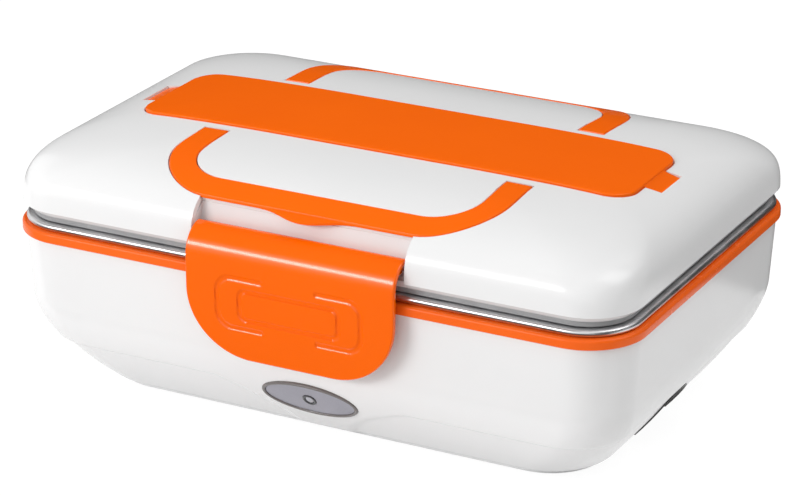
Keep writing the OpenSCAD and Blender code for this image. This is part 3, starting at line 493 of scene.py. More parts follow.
def base_r(z):
    return rim_r - base_in(z) if z >= bend_z else bend_r + foot_round * (1 - z / bend_z)


def tongue_half(z, foot_half=8, spread=26, power=2.2):
    return foot_half + spread * (z / band_h) ** power


def base_ring(z, extra=0.0, step=0.0):
    """Ring of the base; the band's step fades out at the sides of the tongue."""
    inset, fade = base_in(z) + extra, 4
    a, b, r = rim_a - inset, rim_b - inset, base_r(z) - extra
    turns = turns_of(a - step, b - step, r, 20)
    limit, side_limit = a - step - r - 1, b - step - r - 1
    x = front_x * limit / front_half
    front = np.stack([x, -(b - step * soft((np.abs(x) - tongue_half(min(z, band_h))) / fade))], 1)
    rear = np.stack([np.linspace(limit, -limit, 60), np.full(60, b - step)], 1)
    left = np.stack([np.full(24, -(a - step)), np.linspace(side_limit, -side_limit, 24)], 1)
    return at_z(np.concatenate([turns[0], rear, turns[1], left, turns[2], front, turns[3], -left]), z)


base_foot_z, lip_in, lip_z, badge_z = 3.0, 27.0, 5.2, 17.8
slope = math.atan(curl * curl_power / bend_z * ((bend_z - badge_z) / bend_z) ** (curl_power - 1))
badge_at = Matrix.Translation((0, -(rim_b - base_in(badge_z)), badge_z))
badge_place = badge_at @ Matrix.Rotation(math.pi / 2 + slope, 4, "X")
print("badge face leans", round(math.degrees(slope), 1), "degrees")

# %% Base shell's moulding
rings = [base_ring(base_foot_z, 0.5, band_in), base_ring(base_foot_z + 0.35, 0.1, band_in)]
rings += [base_ring(z, 0, band_in) for z in np.linspace(4.2, band_h - 0.25, 20)]
for over, step in ((-0.08, 0.93), (0.15, 0.72), (0.45, 0.28), (0.7, 0.07), (0.95, 0)):
    rings.append(base_ring(band_h + over, 0, step * band_in))
rings += [base_ring(z) for z in np.linspace(band_h + 1.8, bend_z, 18)]
rings += [base_ring(z) for z in np.linspace(bend_z + 2, rim_z, 10)]
rings += [base_ring(z, base_wall) for z in (rim_z, 48, bend_z, 31, 26, 22)]
rings += [base_ring(z, base_wall * 1.2, band_in) for z in (18, 13, 9, lip_z)]
rings += [base_ring(z, lip_in - base_in(z)) for z in (lip_z, base_foot_z)]
base_shell = skin("base_moulding", rings, closed=True)
print("rings in the base:", len(rings))

# %% [markdown]
# The hinge knuckles grow out of the back wall, and the mains inlet is an arched tunnel in the right end.
# Both are joined to the moulding before the holes are cut, so that the cut goes through them too.

# %% Hinge knuckles, inlet, badge recess
knuckle_l = 14.0
knuckle_pitch = knuckle_l + gap


def knuckle(index, side_view):
    left = (index - 2.5) * knuckle_pitch + gap / 2
    barrel = rod_x("barrel", left, left + knuckle_l, (hinge_y, hinge_z), hinge_r)
    web = prism("web", side_view, left, left + knuckle_l, ALONG_X)
    join(barrel, [web])
    soften(barrel, 0.35)
    return barrel


def hinge_bore():
    return rod_x("hinge_bore", -3 * knuckle_pitch, 3 * knuckle_pitch, (hinge_y, hinge_z), hinge_bore_r)


def end_slice(inside_x, inset, heights):
    """Everything from a plane inside the base to an inset short of its right end's face."""
    view = [[rim_a - float(base_in(z)) - inset, z] for z in heights]
    view = [[inside_x, heights[0]]] + view + [[inside_x, heights[-1]]]
    return prism("end_slice", view, -50, 50, ALONG_Y)


web_y, web_z, web_h = rim_b - 3.0, rim_z - 0.6, 13.4
base_webs = [[web_y, web_z], [web_y, web_z - web_h], [web_y + 1.2, web_z - web_h],
             [hinge_y + hinge_r * 0.8, hinge_z - hinge_r * 0.6], [hinge_y, hinge_z],
             [rim_b + gap, hinge_z], [rim_b + gap, web_z]]
socket_x, inlet_axis, inlet_r, inlet_wall = rim_a - 25, (-2.0, 5.0), 13.5, 1.4
tunnel = rod_x("tunnel", socket_x - 13, socket_x + 27, inlet_axis, inlet_r + inlet_wall, 96)
carve(tunnel, [end_slice(socket_x - 14, 1.9, (4.6, 8, 14, 20.4))], "INTERSECT")
join(base_shell, [knuckle(i, base_webs) for i in (1, 3)] + [tunnel])
badge_a, badge_b = 18.5, 8.0
carve(base_shell, [
    rod_x("inlet_hole", socket_x - 14, socket_x + 36, inlet_axis, inlet_r, 96),
    prism("badge_recess", oval(badge_a + 0.1, badge_b + 0.1), -1.4, 8, badge_place),
    prism("lamp_hole", circle(2.75), -6, 4, badge_place), hinge_bore()])
shade(base_shell, 35)
wear(base_shell, white_plastic, "base", ["base_shell"])

# %% Inlet's black lining, which paints the shade inside the tunnel
# A black lining inside the inlet's tunnel: painted shade for the dark hollow of the opening.
wall_line = arc(*inlet_axis, inlet_r - 0.05, -8, 188, 48) + arc(*inlet_axis, inlet_r - 0.55, 188, -8, 48)
painted_shade_lining = prism("inlet_painted_shade", wall_line, socket_x + gap, socket_x + 24, ALONG_X)
carve(painted_shade_lining, [end_slice(socket_x - 2, 0.35, (3.2, 6, 9, 12, 15, 17, 19, 21))], "INTERSECT")
shade(painted_shade_lining, 35)
wear(painted_shade_lining, black_plastic, "base")

# %% [markdown]
# ## Rim ring, food tray and seal
# Three rims lie on each other: the orange ring, the rolled steel edge of the tray and the grey silicone seal
# under the lid. All of them run round the same rounded rectangle.

# %% Orange rim ring
edge, edge_low, ring_in, skirt_h = 1.1, 0.45, 7.2, 8
skirt_x = rim_r - (base_edge + base_wall + lean * skirt_h / (rim_z - bend_z) + gap / 2)
profile = arc(rim_r - edge, ring_top - edge, edge, 90, 0, 8)
profile += arc(rim_r - edge_low, rim_z + edge_low, edge_low, 0, -90, 4)
profile += [[skirt_x - step, rim_z - down] for step, down in
            ((0, 0), (0, skirt_h - 0.2), (0.2, skirt_h), (0.9, skirt_h), (1.1, skirt_h - 0.2), (1.1, 0))]
profile += [[rim_r - ring_in, rim_z], [rim_r - ring_in, ring_top - 0.3], [rim_r - ring_in + 0.3, ring_top]]
rim_ring = carry("rim_ring_moulding", profile)
wear(rim_ring, ring_plastic, "base", ["rim_ring"])

# %% Steel food tray
tray_in, tray_foot_in, tray_floor_z, tray_t, tray_r, fillet = 8.4, 18.0, 24.2, 0.8, 20.0, 5.0


def tray_rim(inset, z, r=None):
    return at_z(outline(rim_a - inset, rim_b - inset, rim_r - inset if r is None else r, 20, 20, 12), z)


def tray_ring(z, extra, wall=0.0, turned_in=0.0):
    """Ring of the tray's leaning side, on its outer face or a wall further in."""
    t = (z - tray_floor_z) / (bead_top - tray_floor_z)
    inset = tray_foot_in + (tray_in - tray_foot_in) * t + extra
    return tray_rim(inset, z, tray_r - wall - turned_in)


def tray_fillet(degrees, wall):
    """Ring of the fillet round the tray's floor."""
    t = np.radians(degrees)
    over = fillet * (1 - math.cos(t))
    return tray_ring(tray_floor_z + wall + fillet * (1 - math.sin(t)), wall + over, wall, over * 0.9)


rings = [tray_fillet(d, 0) for d in range(90, -1, -15)]
flange_z = bead_top - tray_t
rings += [tray_ring(flange_z - 1.2, 0), tray_ring(flange_z - 0.3, -0.25), tray_rim(6.8, flange_z)]
rings += [tray_rim(bead_in + bead_r * math.cos(t), bead_z + bead_r * math.sin(t))
          for t in np.radians(np.linspace(-25, -270, 24))]
rings += [tray_rim(6.2, bead_top), tray_ring(bead_top - 0.3, tray_t - 0.55, tray_t)]
rings += [tray_ring(bead_top - 1.4, tray_t, tray_t)] + [tray_fillet(d, tray_t) for d in range(0, 91, 15)]
food_tray = skin("food_tray_pressing", rings)
wear(food_tray, polished_steel, "base", ["food_tray"])

# %% Silicone seal
seal_in, seal_out = 8.2, 4.2
low, high, face, turn = bead_top + gap, lid_z - 0.05, rim_r - seal_out, 0.35
profile = [[rim_r - seal_in, low]] + arc(face - 1.6, low + 0.1, turn, 200, 340, 8)
profile += arc(face - turn, low + turn, turn, -90, 0, 4)
profile += arc(face - turn, high - turn, turn, 0, 90, 4) + [[rim_r - seal_in, high]]
lid_seal = carry("lid_seal_moulding", profile)
wear(lid_seal, seal_grey, "lid", ["lid_seal"])

# %% [markdown]
# ## Lid
# The lid is a crowned shell with pockets for the cover and the handles, and a deep notch for the latch. Its face
# is a skin through level slices, packed closer where the shoulder turns fast. Each pocket is cut with a solid
# whose walls flare out at the surface, which leaves the small rounded edge of a moulded part.

# %% Dome slices
def turn_steps(count):
    """Slice heights spaced by how far and how fast the profile turns."""
    step_mm, steps_per_turn = 2.2, 22
    w = np.sin(np.linspace(0, math.pi / 2 - 0.012, 4000))
    y, z = slice_b(w), lid_crown * w
    ds = np.hypot(np.diff(y), np.diff(z))
    angle = np.unwrap(np.arctan2(np.diff(z), -np.diff(y)))
    turning = np.abs(np.diff(angle, append=angle[-1]))
    score = np.concatenate([[0], np.cumsum(ds / step_mm + turning * steps_per_turn)])
    return np.interp(np.linspace(0, score[-1], count), score, w)


def lid_ring(a, b, r, z):
    return at_z(outline(a, b, r, 20, 72, 44), z)


def dome_ring(w, wall=0.0):
    a, b = lid_a - wall, lid_b - wall
    top = lid_wide_z + (lid_crown - wall) * w
    return lid_ring(float(slice_a(w, a)), float(slice_b(w, b)), float(slice_r(w, a, b)), top)


heights = turn_steps(58)
rings = [dome_ring(w, lid_wall) for w in heights[::-3]]
for inset, up_z, less_r in ((lid_wall + 0.2, 2.5, 3), (lid_wall + 2.8, 0.3, 5.5), (3.5, 0, 4.3), (3.2, 0.25, 4),
                            (2.95, 0.02, 3.75), (2.7, 0.08, 3.5), (1.9, 0.72, 2.7), (1.2, 1.32, 2),
                            (0.7, 1.85, 1.5), (0.25, 2.25, 1.05), (0.06, 2.42, 0.86)):
    rings.append(lid_ring(lid_a - inset, lid_b - inset, rim_r - less_r, lid_z + up_z))
rings += [dome_ring(w) for w in heights]
lid_shell = skin("lid_moulding", rings)
print("rings in the lid:", len(rings))

# %% Cover's outline on the dome
cover_a, cover_b, cover_r, cover_t, cover_proud = 95.0, 23.6, 9.0, 2.0, 0.8


def cover_ring(grow, off):
    """The cover's outline on the dome, grown by an amount and lifted off it."""
    b = cover_b + grow
    r = cover_r + grow if grow > -3 else cover_r * b / cover_b
    points = np.roll(outline(cover_a + grow, b, r, 16, 60, 12), 6, axis=0)
    return np.column_stack([points, dome_z(points[:, 0], points[:, 1]) + off])


inward = [-1.5, -3.5, -6, -9, -12, -15, -18, -21, -23.2]


def flare(radius, n=5):
    """Steps up a pocket's wall that end in a small round at the surface, as pairs of growth and height."""
    return [(radius * (1 + math.cos(t)), radius * (math.sin(t) - 1))
            for t in np.radians(np.linspace(180, 98, n + 1))]


pocket_low = cover_proud - cover_t - 0.1
pocket = [cover_ring(gap + g, pocket_low) for g in inward[::-1]] + [cover_ring(gap, pocket_low)]
pocket += [cover_ring(gap + g, z) for g, z in flare(0.45)]
g_top = flare(0.45)[-1][0]
pocket += [cover_ring(gap + g, 6) for g in [g_top] + inward]
cover_pocket = skin("cover_pocket", pocket, strip=True)

# %% Tab at each end of the cover
tab_w, tab_l, tab_drop = 17.0, 6.2, 2.4
tab_z = float(dome_z(cover_a, 0)) + cover_proud


def cover_tab(name, grow, side):
    root, tip, tip_z = cover_a - 3 - grow, cover_a + tab_l + grow, tab_z - tab_drop
    view = [[root, tab_z - 0.2], [cover_a - 1, tab_z - 0.1], [cover_a + 1.5, tab_z - 1.1 + grow * 8],
            [tip, tip_z + grow * 12], [tip, tip_z - 1.6 - grow],
            [cover_a + 1.2, tab_z - 3 - grow], [root, tab_z - cover_t - grow / 2]]
    half = tab_w / 2 + grow
    return prism(name, view, -half, half, Matrix.Rotation(side, 4, "Z") @ ALONG_Y)


print("tab leaves the cover at z", round(tab_z, 2))

# %% Handle's outline in plan
bail_x, bail_y, bail_reach, bail_arm, bail_grip, bail_lip = 58.6, 32.6, 37.9, 9.6, 8.8, 3.3
bail_lip_t, bail_bow, bail_t, bail_proud, bail_pin_r = 1.2, 0.3, 3.8, 0.2, 1.4
bail_z = float(dome_z(bail_x, bail_y)) - bail_t / 2 + bail_proud
bail_axis, pin_x, knee_r = (-bail_y, bail_z), bail_x + bail_arm / 2 - 1, 4.6


def bail_side(a, b, r, end_x, end):
    """One edge of the handle, from its right end round the grip to its left end."""
    bowed = -9
    half = [[end_x, end], [end_x, end * 0.5], [end_x, 0], [(end_x + a) / 2, bowed / 2], [a, bowed]]
    half += [[a, y] for y in np.linspace(bowed, -(b - r), 5)[1:-1]]
    half += [[a - r + r * math.cos(t), -(b - r) + r * math.sin(t)] for t in np.radians(np.linspace(0, -90, 21))]
    mirrored = [[-x, y] for x, y in half[::-1]]
    straight = [[x, -b] for x in np.linspace(a - r, -(a - r), 42)[1:-1]]
    return np.array(half + straight + mirrored)


def bail_ring(grow, lip, off):
    """Closed line round the handle on the dome; lip is how far its front edge stands back."""
    side, outer_r, inner_r = (0.4 if lip > 0 else 0.0), 25, 16
    out_a, in_a, end = bail_x + bail_arm / 2 + grow - side, bail_x - bail_arm / 2 - grow, 3.7 + grow
    outer_edge = bail_side(out_a + bail_bow, bail_reach - lip + grow, outer_r - lip + grow, out_a, end)
    inner_edge = bail_side(in_a + bail_bow, bail_reach - bail_grip - grow, inner_r - grow, in_a, end)
    line = np.concatenate([outer_edge, inner_edge[::-1]]) - (0, bail_y)
    return at_z(line, dome_z(line[:, 0], line[:, 1]) + bail_proud + off)


thumb_z = float(dome_z(0, bail_y + bail_reach)) + bail_proud - bail_lip_t
thumb_place = Matrix.Translation((0, -bail_y - bail_reach, thumb_z)) @ Matrix.Rotation(math.radians(10), 4, "X")


def thumb(grow):
    """Crescent in front of the grip for the thumb, a bell curve whose ends run out softly."""
    half, out, end, rear = 17.5, 4.2, 0.4, 1.5
    x = np.linspace(-half - grow, half + grow, 49)
    bell = (1 + np.cos(np.clip(x / half, -1, 1) * math.pi)) / 2
    curve = np.column_stack([x, end - (out + end) * bell - grow])
    return np.concatenate([curve, [[half + grow, rear + grow], [-half - grow, rear + grow]]])


print("handle pivots at z", round(bail_z, 2))

# %% Handle's pocket in the lid
def turned(piece):
    piece.data.transform(Matrix.Rotation(math.pi, 4, "Z"))
    piece.data.update()
    return piece


def handle_tools():
    """Everything that one handle takes out of the lid."""
    body = [bail_ring(gap, bail_lip, -bail_t - gap), bail_ring(gap, bail_lip, -bail_lip_t)]
    lip = [bail_ring(gap, 0, -bail_lip_t - gap)] + [bail_ring(gap + g, 0, off - bail_proud) for g, off in flare(0.22)]
    lip.append(bail_ring(gap + flare(0.22)[-1][0], 0, 6))
    tools = [skin("body_room", body, strip=True), skin("handle_pocket", lip, strip=True),
             prism("thumb_room", thumb(gap), -0.5 - gap, 10, thumb_place)]
    for s in (-1, 1):
        middle, half = s * bail_x, bail_arm / 2 + gap + 0.05
        tools += [rod_x("bore", s * pin_x, s * (pin_x + 4.4), bail_axis, bail_pin_r + 0.06),
                  rod_x("knee", middle - half, middle + half, bail_axis, knee_r),
                  brick("stop", (middle - half - 0.05, middle + half + 0.05), (-bail_y, knee_r - bail_y),
                        bail_z - 1, bail_z + 11)]
    return tools


def handle_bed():
    """Plastic under and round one handle's pocket."""
    wall, half, depth = gap + 1.6, (bail_arm + 12) / 2, 6.4
    bed = [bail_ring(wall, bail_lip, -bail_t - gap - 1.8), bail_ring(wall, bail_lip, -1.4 - bail_proud)]
    return [skin("bed", bed, strip=True)] + [
        brick("block", (s * bail_x - half, s * bail_x + half), (-bail_y - depth, depth - bail_y),
              bail_z - 6.2, bail_z + 1) for s in (-1, 1)]


# %% Latch notch and hinge knuckles of the lid
latch_a = 39.5
notch_a, notch_back = latch_a + 0.9, lid_b - 8.5
liner_top = lid_z + 2.0
inner_y, room_z, liner_y = notch_back - 2, lid_wide_z - 0.4, rim_b - seal_in + 0.2
notch_view = [(inner_y, liner_top + 0.1), (liner_y, liner_top + 0.1), (liner_y, lid_z + 0.8),
              (lid_b - 3.4, lid_z + 0.8), (lid_b - 1.6, lid_z + 2.4), (lid_b - 1, lid_wide_z + 2),
              (lid_b - 2, latch_pin_z + 1.6), (lid_b - 4.4, 80), (lid_b - 8, 83), (lid_b - 13, 85.4),
              (lid_b - 16, 85.6), (inner_y, 81)]
room_view = [(rim_b + 20, lid_z - 10), (lid_b - 3, lid_z - 10), (lid_b - 3, room_z), (notch_back + 2, room_z),
             (notch_back + 2, 76), (notch_back + 0.2, 83.5), (notch_back, 100), (rim_b + 20, 100)]


def across(name, view, half):
    """A side view's outline, as distances in front and heights, drawn out to both sides."""
    return prism(name, np.array(view) * (-1, 1), -half, half, ALONG_X)


notch_body = across("notch_body", notch_view, notch_a + 4.6)
notch_room = across("notch_room", room_view, notch_a)
lid_webs = [[lid_b - 1.4, lid_wide_z + 4], [lid_b - 1.4, lid_wide_z - 2], [rim_b + 0.8, lid_z - 1],
            [hinge_y, hinge_z], [hinge_y + hinge_r * 0.6, hinge_z + hinge_r * 0.8], [lid_b + 3, lid_wide_z + 1.5]]
trough_a, trough_b, trough_r = 84.0, 17.0, 8.0
trough_top = float(dome_z(0, 0)) - cover_t + cover_proud - 2
trough_z = trough_top - 15
boss_at = [(98 * x, 50 * y) for x in (-1, 1) for y in (-1, 1)]
boss_top = float(dome_z(98, 50)) - 1.2


def trough(name, grow, low, high):
    return prism(name, outline(trough_a + grow, trough_b + grow, trough_r + grow, 12), low, high)


def uprights(name, low, high, r, n):
    return [rod(name, (*spot, low), (*spot, high), r, n) for spot in boss_at]


trough_box = trough("trough_box", 2, trough_z - lid_wall, lid_wide_z + lid_crown - 2.0)
beds = handle_bed() + [turned(b) for b in handle_bed()]
join(lid_shell, beds + [trough_box, notch_body] + [knuckle(i, lid_webs) for i in (0, 2, 4)]
     + uprights("boss", liner_top, boss_top, 3.6, 32))
print("lid joined,", len(lid_shell.data.polygons), "faces")

# %% Cutting the lid
def latch_rod(name, half, r):
    return rod_x(name, -half, half, (latch_pin_y, latch_pin_z), r)


tools = [cover_pocket] + [cover_tab("tab_room", gap, side) for side in (0, math.pi)]
tools += [trough("trough_room", 0, trough_z, trough_z + 40), notch_room]
tools += handle_tools() + [turned(t) for t in handle_tools()]
tools += [latch_rod("latch_bore", notch_a + 4.2, latch_bore_r), hinge_bore()]
carve(lid_shell, tools + uprights("pilot", liner_top - 1, liner_top + 6.4, 1.4, 24))
shade(lid_shell, 35)
wear(lid_shell, white_plastic, "lid", ["lid_shell"])

# %% [markdown]
# ## Cover and handles
# The cover is a thin slab that follows the dome, with a rounded rim and a sloping tab at each end to pull it up
# by. The handles are flat hoops with a thin lip round the grip and a crescent in front for the thumb.

# %% Utensil cover
low = cover_proud - cover_t
rim = 0.55
rings = [cover_ring(g, low) for g in inward[::-1]]
rings += [cover_ring(-0.5, low), cover_ring(-0.12, low + 0.12), cover_ring(0, low + 0.45)]
rings += [cover_ring(rim * (math.cos(t) - 1), cover_proud - rim + rim * math.sin(t))
          for t in np.radians([0, 18, 36, 54, 72, 90])]
cover = skin("cover_slab", rings + [cover_ring(g, cover_proud) for g in inward], strip=True)
sides = [cover_tab("tab", 0, side) for side in (0, math.pi)]
for tab in sides:
    soften(tab, 0.3, 40)
skirt_low, skirt_h = float(dome_z(trough_a, trough_b)) - 4.5, 4.5
skirt = trough("skirt", -gap, skirt_low, skirt_low + skirt_h + low + 1)
carve(skirt, [trough("hollow", -1.8, skirt_low - 1, skirt_low + skirt_h - 1.1 + low + 1)])
under = [cover_ring(g - 1.0, low + 0.4) for g in inward[::-1]]
under += [cover_ring(-1.0, low + 0.4), cover_ring(-1.0, -30)] + [cover_ring(g - 1.0, -30) for g in inward]
carve(skirt, [skin("under_cover", under, strip=True)], "INTERSECT")
join(cover, sides + [skirt])
even(cover, 45)
wear(cover, orange_plastic, "utensil_cover", ["utensil_cover"])

# %% Folding handles
def handle(name):
    body = bail_lip + 0.8
    levels = [(-3.2, body, -bail_t), (-0.45, body, -bail_t), (-0.13, body, 0.13 - bail_t), (0, body, 0.45 - bail_t),
              (0, bail_lip, -bail_lip_t - 0.4), (0, bail_lip, -bail_lip_t), (-0.2, 0, -bail_lip_t),
              (-0.06, 0, 0.06 - bail_lip_t), (0, 0, 0.2 - bail_lip_t), (0, 0, -0.64), (-0.01, 0, -0.56),
              (-0.03, 0, -0.5), (-0.16, 0, -0.17), (-0.2, 0, -0.09), (-0.28, 0, -0.02), (-0.38, 0, 0)]
    levels += [(g, 0, 0) for g in (-0.8, -1.4, -2.0, -2.6, -3.2)]
    hoop = skin(name, [bail_ring(*level) for level in levels], strip=True)
    nail_levels = [(-0.3, -0.5), (0, -0.2), (0, 0.45), (-0.1, 0.7), (-0.35, 0.8)]
    nail = skin("thumb", [placed(at_z(thumb(g), z), thumb_place) for g, z in nail_levels])
    join(hoop, [nail] + [rod_x("pivot", s * pin_x, s * (pin_x + 4), bail_axis, bail_pin_r) for s in (-1, 1)])
    return hoop


front_handle, rear_handle = handle("front_handle_moulding"), turned(handle("rear_handle_moulding"))
for piece, body in ((front_handle, "front_handle"), (rear_handle, "rear_handle")):
    even(piece)
    wear(piece, orange_plastic, body, [body])

# %% [markdown]
# ## Latch
# The latch is a plate two millimetres thick, bent over its pin at the top and rounded at its lower corners. Its
# front carries an ornament of soft channels: a rounded rectangle between two brackets. A fine grid follows the
# plate, and every point of its front is pushed in by the depth of the channel there.

# %% Latch's curve and ornament
latch_z, latch_wall, latch_r = 33.5, 2.0, 24.0
latch_top = latch_pin_z + 3
bend_back, bend_h, quarter = 0.9, 10.2, math.pi / 2
latch_bend, turn_z = -latch_y + latch_pin_y + bend_back, latch_z + latch_r


def latch_line(z):
    """Face of the latch below its bend, which draws in a little towards the lower edge."""
    return latch_y + 1.6 * np.maximum(0, (58 - z) / 24) ** 2


def latch_rows(inset):
    """Points down the plate as y and z, its inward normals, and the half width at each."""
    t0, around = inset / latch_bend, np.linspace(0, quarter, 64)
    t = t0 + (quarter - t0) * np.linspace(0, quarter, 34)[:-1] / quarter
    y = latch_pin_y + bend_back - latch_bend * np.sin(t)
    z = latch_top - bend_h + bend_h * np.cos(t)
    ny, nz = bend_h * np.sin(t), -latch_bend * np.cos(t)
    flat = np.linspace(latch_top - bend_h, turn_z, 24)[:-1]
    low = turn_z - (latch_r - inset) * np.sin(around)
    z = np.concatenate([z, flat, low])
    y = np.concatenate([y, latch_line(flat), latch_line(low)])
    lean = np.concatenate([flat, low])
    slope_y = (latch_line(lean + 0.05) - latch_line(lean - 0.05)) / 0.1
    normal = np.concatenate([np.stack([ny, nz], 1), np.stack([np.ones(len(lean)), -slope_y], 1)])
    normal /= np.linalg.norm(normal, axis=1)[:, None]
    half = np.full(len(z), latch_a - inset)
    half[len(t) + len(flat):] = latch_a - latch_r + (latch_r - inset) * np.cos(around)
    return np.stack([y, z], 1), normal, half


def rounded(x, z, middle_z, a, b, r):
    """Distance from a rounded rectangle's line, negative inside it."""
    return beyond(np.abs(x) - (a - r), np.abs(z - middle_z) - (b - r)) - r


def channel(distance, half_width, wall):
    return soft((half_width + wall / 2 - np.abs(distance)) / wall)


def ornament(x, z):
    """Depth of the moulded channels over the latch's face."""
    middle = channel(rounded(x, z, 54.2, 18.8, 5.3, 2.6), 0.75, 0.4)
    brackets = channel(rounded(x, z, 54.4, 27.3, 9.1, 5.5), 0.85, 0.45) * soft((np.abs(x) - 9.8) / 0.5)
    return 0.48 * np.maximum(middle, brackets)


columns = 201


def latch_grid(inset, depth, carved=False):
    """The whole plate as a grid of points at a depth below its face."""
    line, normal, half = latch_rows(inset)
    u = np.linspace(-1, 1, columns)
    x = half[:, None] * u[None, :]
    d = np.full(x.shape, float(depth))
    if carved:
        d += ornament(x, line[:, 1:2] + 0 * x)
    y = line[:, 0:1] + normal[:, 0:1] * d
    z = line[:, 1:2] + normal[:, 1:2] * d
    return np.stack([x, y, z], 2)


def border(grid):
    """The grid's outer points, in order round it."""
    return np.concatenate([grid[0, :-1], grid[:-1, -1], grid[-1, :0:-1], grid[:0:-1, 0]])


# %% Latch's plate
front, rear = latch_grid(0.6, 0, True), latch_grid(0.4, latch_wall)
rows = front.shape[0]
loops = [border(latch_grid(0.6 * (1 - math.sin(t)), 0.6 * (1 - math.cos(t))))
         for t in np.radians([15, 30, 45, 60, 75, 90])]
loops += [border(latch_grid(0, latch_wall - 0.4)), border(latch_grid(0.12, latch_wall - 0.12))]


def grid_faces(start, flip):
    i, j = np.meshgrid(np.arange(rows - 1), np.arange(columns - 1), indexing="ij")
    a = start + i * columns + j
    quads = np.stack([a, a + 1, a + columns + 1, a + columns], -1).reshape(-1, 4)
    return (quads[:, ::-1] if flip else quads).tolist()


count = rows * columns
edge_ids = border(np.arange(count).reshape(rows, columns, 1))[:, 0]
loop_ids = [edge_ids] + [np.arange(len(loop)) + 2 * count + i * len(loop) for i, loop in enumerate(loops)]
loop_ids.append(edge_ids + count)
faces = grid_faces(0, False) + grid_faces(count, True)
for first, second in zip(loop_ids[:-1], loop_ids[1:]):
    faces += np.stack([first, np.roll(first, -1), np.roll(second, -1), second], 1).tolist()
latch = make("latch_moulding", np.concatenate([front.reshape(-1, 3), rear.reshape(-1, 3)] + loops), faces)
print("latch plate", len(faces), "faces")

# %% Latch's hinge barrel, catch and ribs
hook_z, hook_y = rim_z - gap, rim_b - 0.9
hook = across("hook", [(-latch_y - 1, hook_z), (hook_y, hook_z), (hook_y, hook_z - 0.8), (rim_b + 0.8, hook_z - 2.4),
                       (-latch_y - 1, hook_z - 4.4)], 15)
soften(hook, 0.2, 30)
rib_z = 55
rib_y = float(latch_line(rib_z)) + 1
rib_view = [[rib_y, rib_z], [rib_y, latch_top - bend_h], [latch_pin_y - 1.2, latch_top - 4.2],
            [latch_pin_y, latch_pin_z - 2], [-(rim_b + 1.3), latch_pin_z - 6], [-(rim_b + 1.3), rib_z + 2]]
ribs = [prism("rib", rib_view, x, x + 2, ALONG_X) for x in (-26, 24)]
barrel = latch_rod("barrel", latch_a - 2, 2.95)
soften(barrel, 0.25, 60)
join(latch, [barrel, hook] + ribs)
carve(latch, [latch_rod("pin_bore", latch_a + 1, latch_bore_r)])
shade(latch)
wear(latch, latch_plastic, "latch", ["latch"])

# %% [markdown]
# ## Badge and lamp
# The oval badge sits in a shallow recess of the tongue: a dark rounded frame, a satin grey plate and the lamp
# in its middle. The plate is kept bare, and the lamp is a small milky window in a black ring.

# %% Badge
def badge_skin(name, levels, closed=False, n=96):
    """Skin through ovals given as half sizes and a height over the recess's face."""
    return skin(name, [placed(at_z(oval(a, b, n), z), badge_place) for a, b, z in levels], closed)


frame_levels = [(badge_a - a_in, badge_b - b_in, z) for a_in, b_in, z in (
    (0, 0, -1.3), (0, 0, 0.1), (0.12, 0.12, 0.34), (0.4, 0.4, 0.5), (0.9, 0.75, 0.5), (1.2, 1.0, 0.36),
    (1.3, 1.1, 0.1), (1.3, 1.1, -1.3))]
bezel = badge_skin("badge_frame", frame_levels, closed=True)
wear(bezel, bezel_plastic, "base", ["badge_bezel"])
plate_a, plate_b = badge_a - 1.36, badge_b - 1.16
plate_levels = [(plate_a, plate_b, -1.3), (plate_a, plate_b, 0.0), (plate_a - 0.1, plate_b - 0.1, 0.08)]
plate_levels += [(plate_a * k, plate_b * k, 0.1 + 0.16 * (1 - k * k)) for k in (0.97, 0.9, 0.8, 0.7, 0.58, 0.45)]
plate = badge_skin("badge_face", plate_levels)
carve(plate, [prism("lamp_room", circle(2.68, 64), -3, 4, badge_place)])
shade(plate, 30)
wear(plate, badge_grey, "base", ["badge_plate"])

# %% Lamp
levels = [(2.6, -3.2), (2.6, 0.3), (2.5, 0.45), (2.3, 0.52), (2.0, 0.52), (1.75, 0.42), (1.62, 0.2), (1.6, -3.2)]
lamp_ring = badge_skin("lamp_ring", [(r, r, z) for r, z in levels], closed=True, n=64)
wear(lamp_ring, lens_dark, "base", ["lamp_lens"])
levels = [(1.58, -1.2), (1.58, 0.12), (1.4, 0.26), (1.0, 0.38), (0.5, 0.44)]
wear(badge_skin("lamp_window", [(r, r, z) for r, z in levels], n=48), lamp_milk, "base")

# %% [markdown]
# ## Studio
# Most of the light is the even white dome of the world. A low softbox in front gives the long highlight on the
# latch's bend and the lid's belly, and one at the upper right lifts the lid's far end.
# Glossy orange would look milky under so much white, so black cards stand where the latch, the cover and the
# handles mirror them. Only gloss sees these cards, apart from the one on the right, which also keeps light off
# that end, as in the photograph.

# %% Lights
def softbox(name, direction, distance, size, power):
    light = bpy.data.lights.new(name, "AREA")
    light.shape, light.size, light.size_y, light.energy = "RECTANGLE", size[0], size[1], power
    lamp = put(name, light)
    lamp.location = Vector((0, 0, 0.05)) + Vector(direction).normalized() * distance
    lamp.rotation_mode = "QUATERNION"
    lamp.rotation_quaternion = Vector(direction).to_track_quat("Z", "Y")


softbox("key", (-0.43, -0.82, 0.38), 1.5, (0.7, 0.22), 8)
softbox("overhead", (0.6, 0.1, 0.8), 1.6, (0.7, 1.2), 8)

# %% World
def join_nodes(tree, kind, sources, operation=None):
    """A node whose first inputs are fed by other sockets."""
    node = tree.nodes.new("ShaderNode" + kind)
    if operation:
        node.operation = operation
    for i, source in enumerate(sources):
        tree.links.new(source, node.inputs[i])
    return node.outputs[0]


def grey(tree, kind, level, strength=None):
    """A shader of one grey."""
    node = tree.nodes.new("ShaderNode" + kind)
    node.inputs["Color"].default_value = (level, level, level, 1)
    if strength:
        node.inputs["Strength"].default_value = strength
    return node.outputs[0]


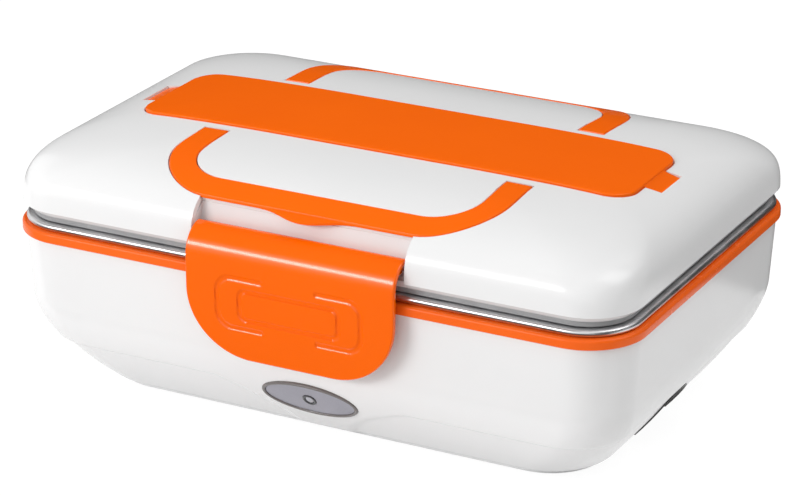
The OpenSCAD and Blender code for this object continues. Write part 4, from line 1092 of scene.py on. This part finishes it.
def by_ray(tree, lighting, seen, output):
    """Rays of the camera, of gloss and of glass meet one shader, and the rays that light things another."""
    path = tree.nodes.new("ShaderNodeLightPath").outputs
    view = join_nodes(tree, "Math", (path["Is Camera Ray"], path["Is Glossy Ray"]), "MAXIMUM")
    view = join_nodes(tree, "Math", (view, path["Is Transmission Ray"]), "MAXIMUM")
    mix = join_nodes(tree, "MixShader", (view, lighting, seen))
    tree.links.new(mix, tree.nodes[output].inputs["Surface"])


world = bpy.data.worlds.new("studio")
world.use_nodes = True
scene.world = world
tree = world.node_tree
tree.nodes.remove(tree.nodes["Background"])
by_ray(tree, grey(tree, "Background", 1, 0.8), grey(tree, "Background", 1, 1.0), "World Output")
scene.view_settings.view_transform = "Standard"

# %% Floor and black cards
def sheet(name, low, high, material):
    """Rectangle between two opposite corners in metres, flat in the axis where they agree."""
    u, v = [i for i in range(3) if low[i] != high[i]]
    mesh = bpy.data.meshes.new(name)
    mesh.from_pydata([[high[i] if i in moved else low[i] for i in range(3)]
                      for moved in ((), (u,), (u, v), (v,))], [], [(0, 1, 2, 3)])
    mesh.materials.append(material)
    return put(name, mesh)


pale = bpy.data.materials.new("pale_floor")
pale.use_nodes = True
tree = pale.node_tree
tree.nodes.remove(tree.nodes["Principled BSDF"])
shadowed = join_nodes(tree, "AddShader", (grey(tree, "BsdfDiffuse", 0.1), grey(tree, "Emission", 1, 0.95)))
by_ray(tree, grey(tree, "BsdfDiffuse", 0.88), shadowed, "Material Output")
black = Finish("black_card").set(Base_Color=(0.005, 0.005, 0.005), Specular_IOR_Level=0)
floor = sheet("floor", (-4, -4, 0), (4, 4, 0), pale)
cards = [sheet("card_" + name, low, high, black) for name, low, high in (
    ("right", (0.9, -1.1, 0.05), (0.9, 1.2, 0.9)), ("front", (-1.6, -1.5, 0.02), (1.0, -1.5, 0.16)),
    ("back", (-2.2, 1.6, 0.02), (1.2, 1.6, 1.9)), ("over", (-2.6, -2.0, 1.9), (0.1, 1.6, 1.9)),
    ("floor", (-1.6, -1.4, 0.001), (1.0, -0.1, 0.001)), ("floor_back", (-2.2, 0.12, 0.001), (1.2, 1.6, 0.001)))]
for card in cards:
    card.visible_camera = card.visible_shadow = False
    card.visible_diffuse = card.name == "card_right"
print("studio ready")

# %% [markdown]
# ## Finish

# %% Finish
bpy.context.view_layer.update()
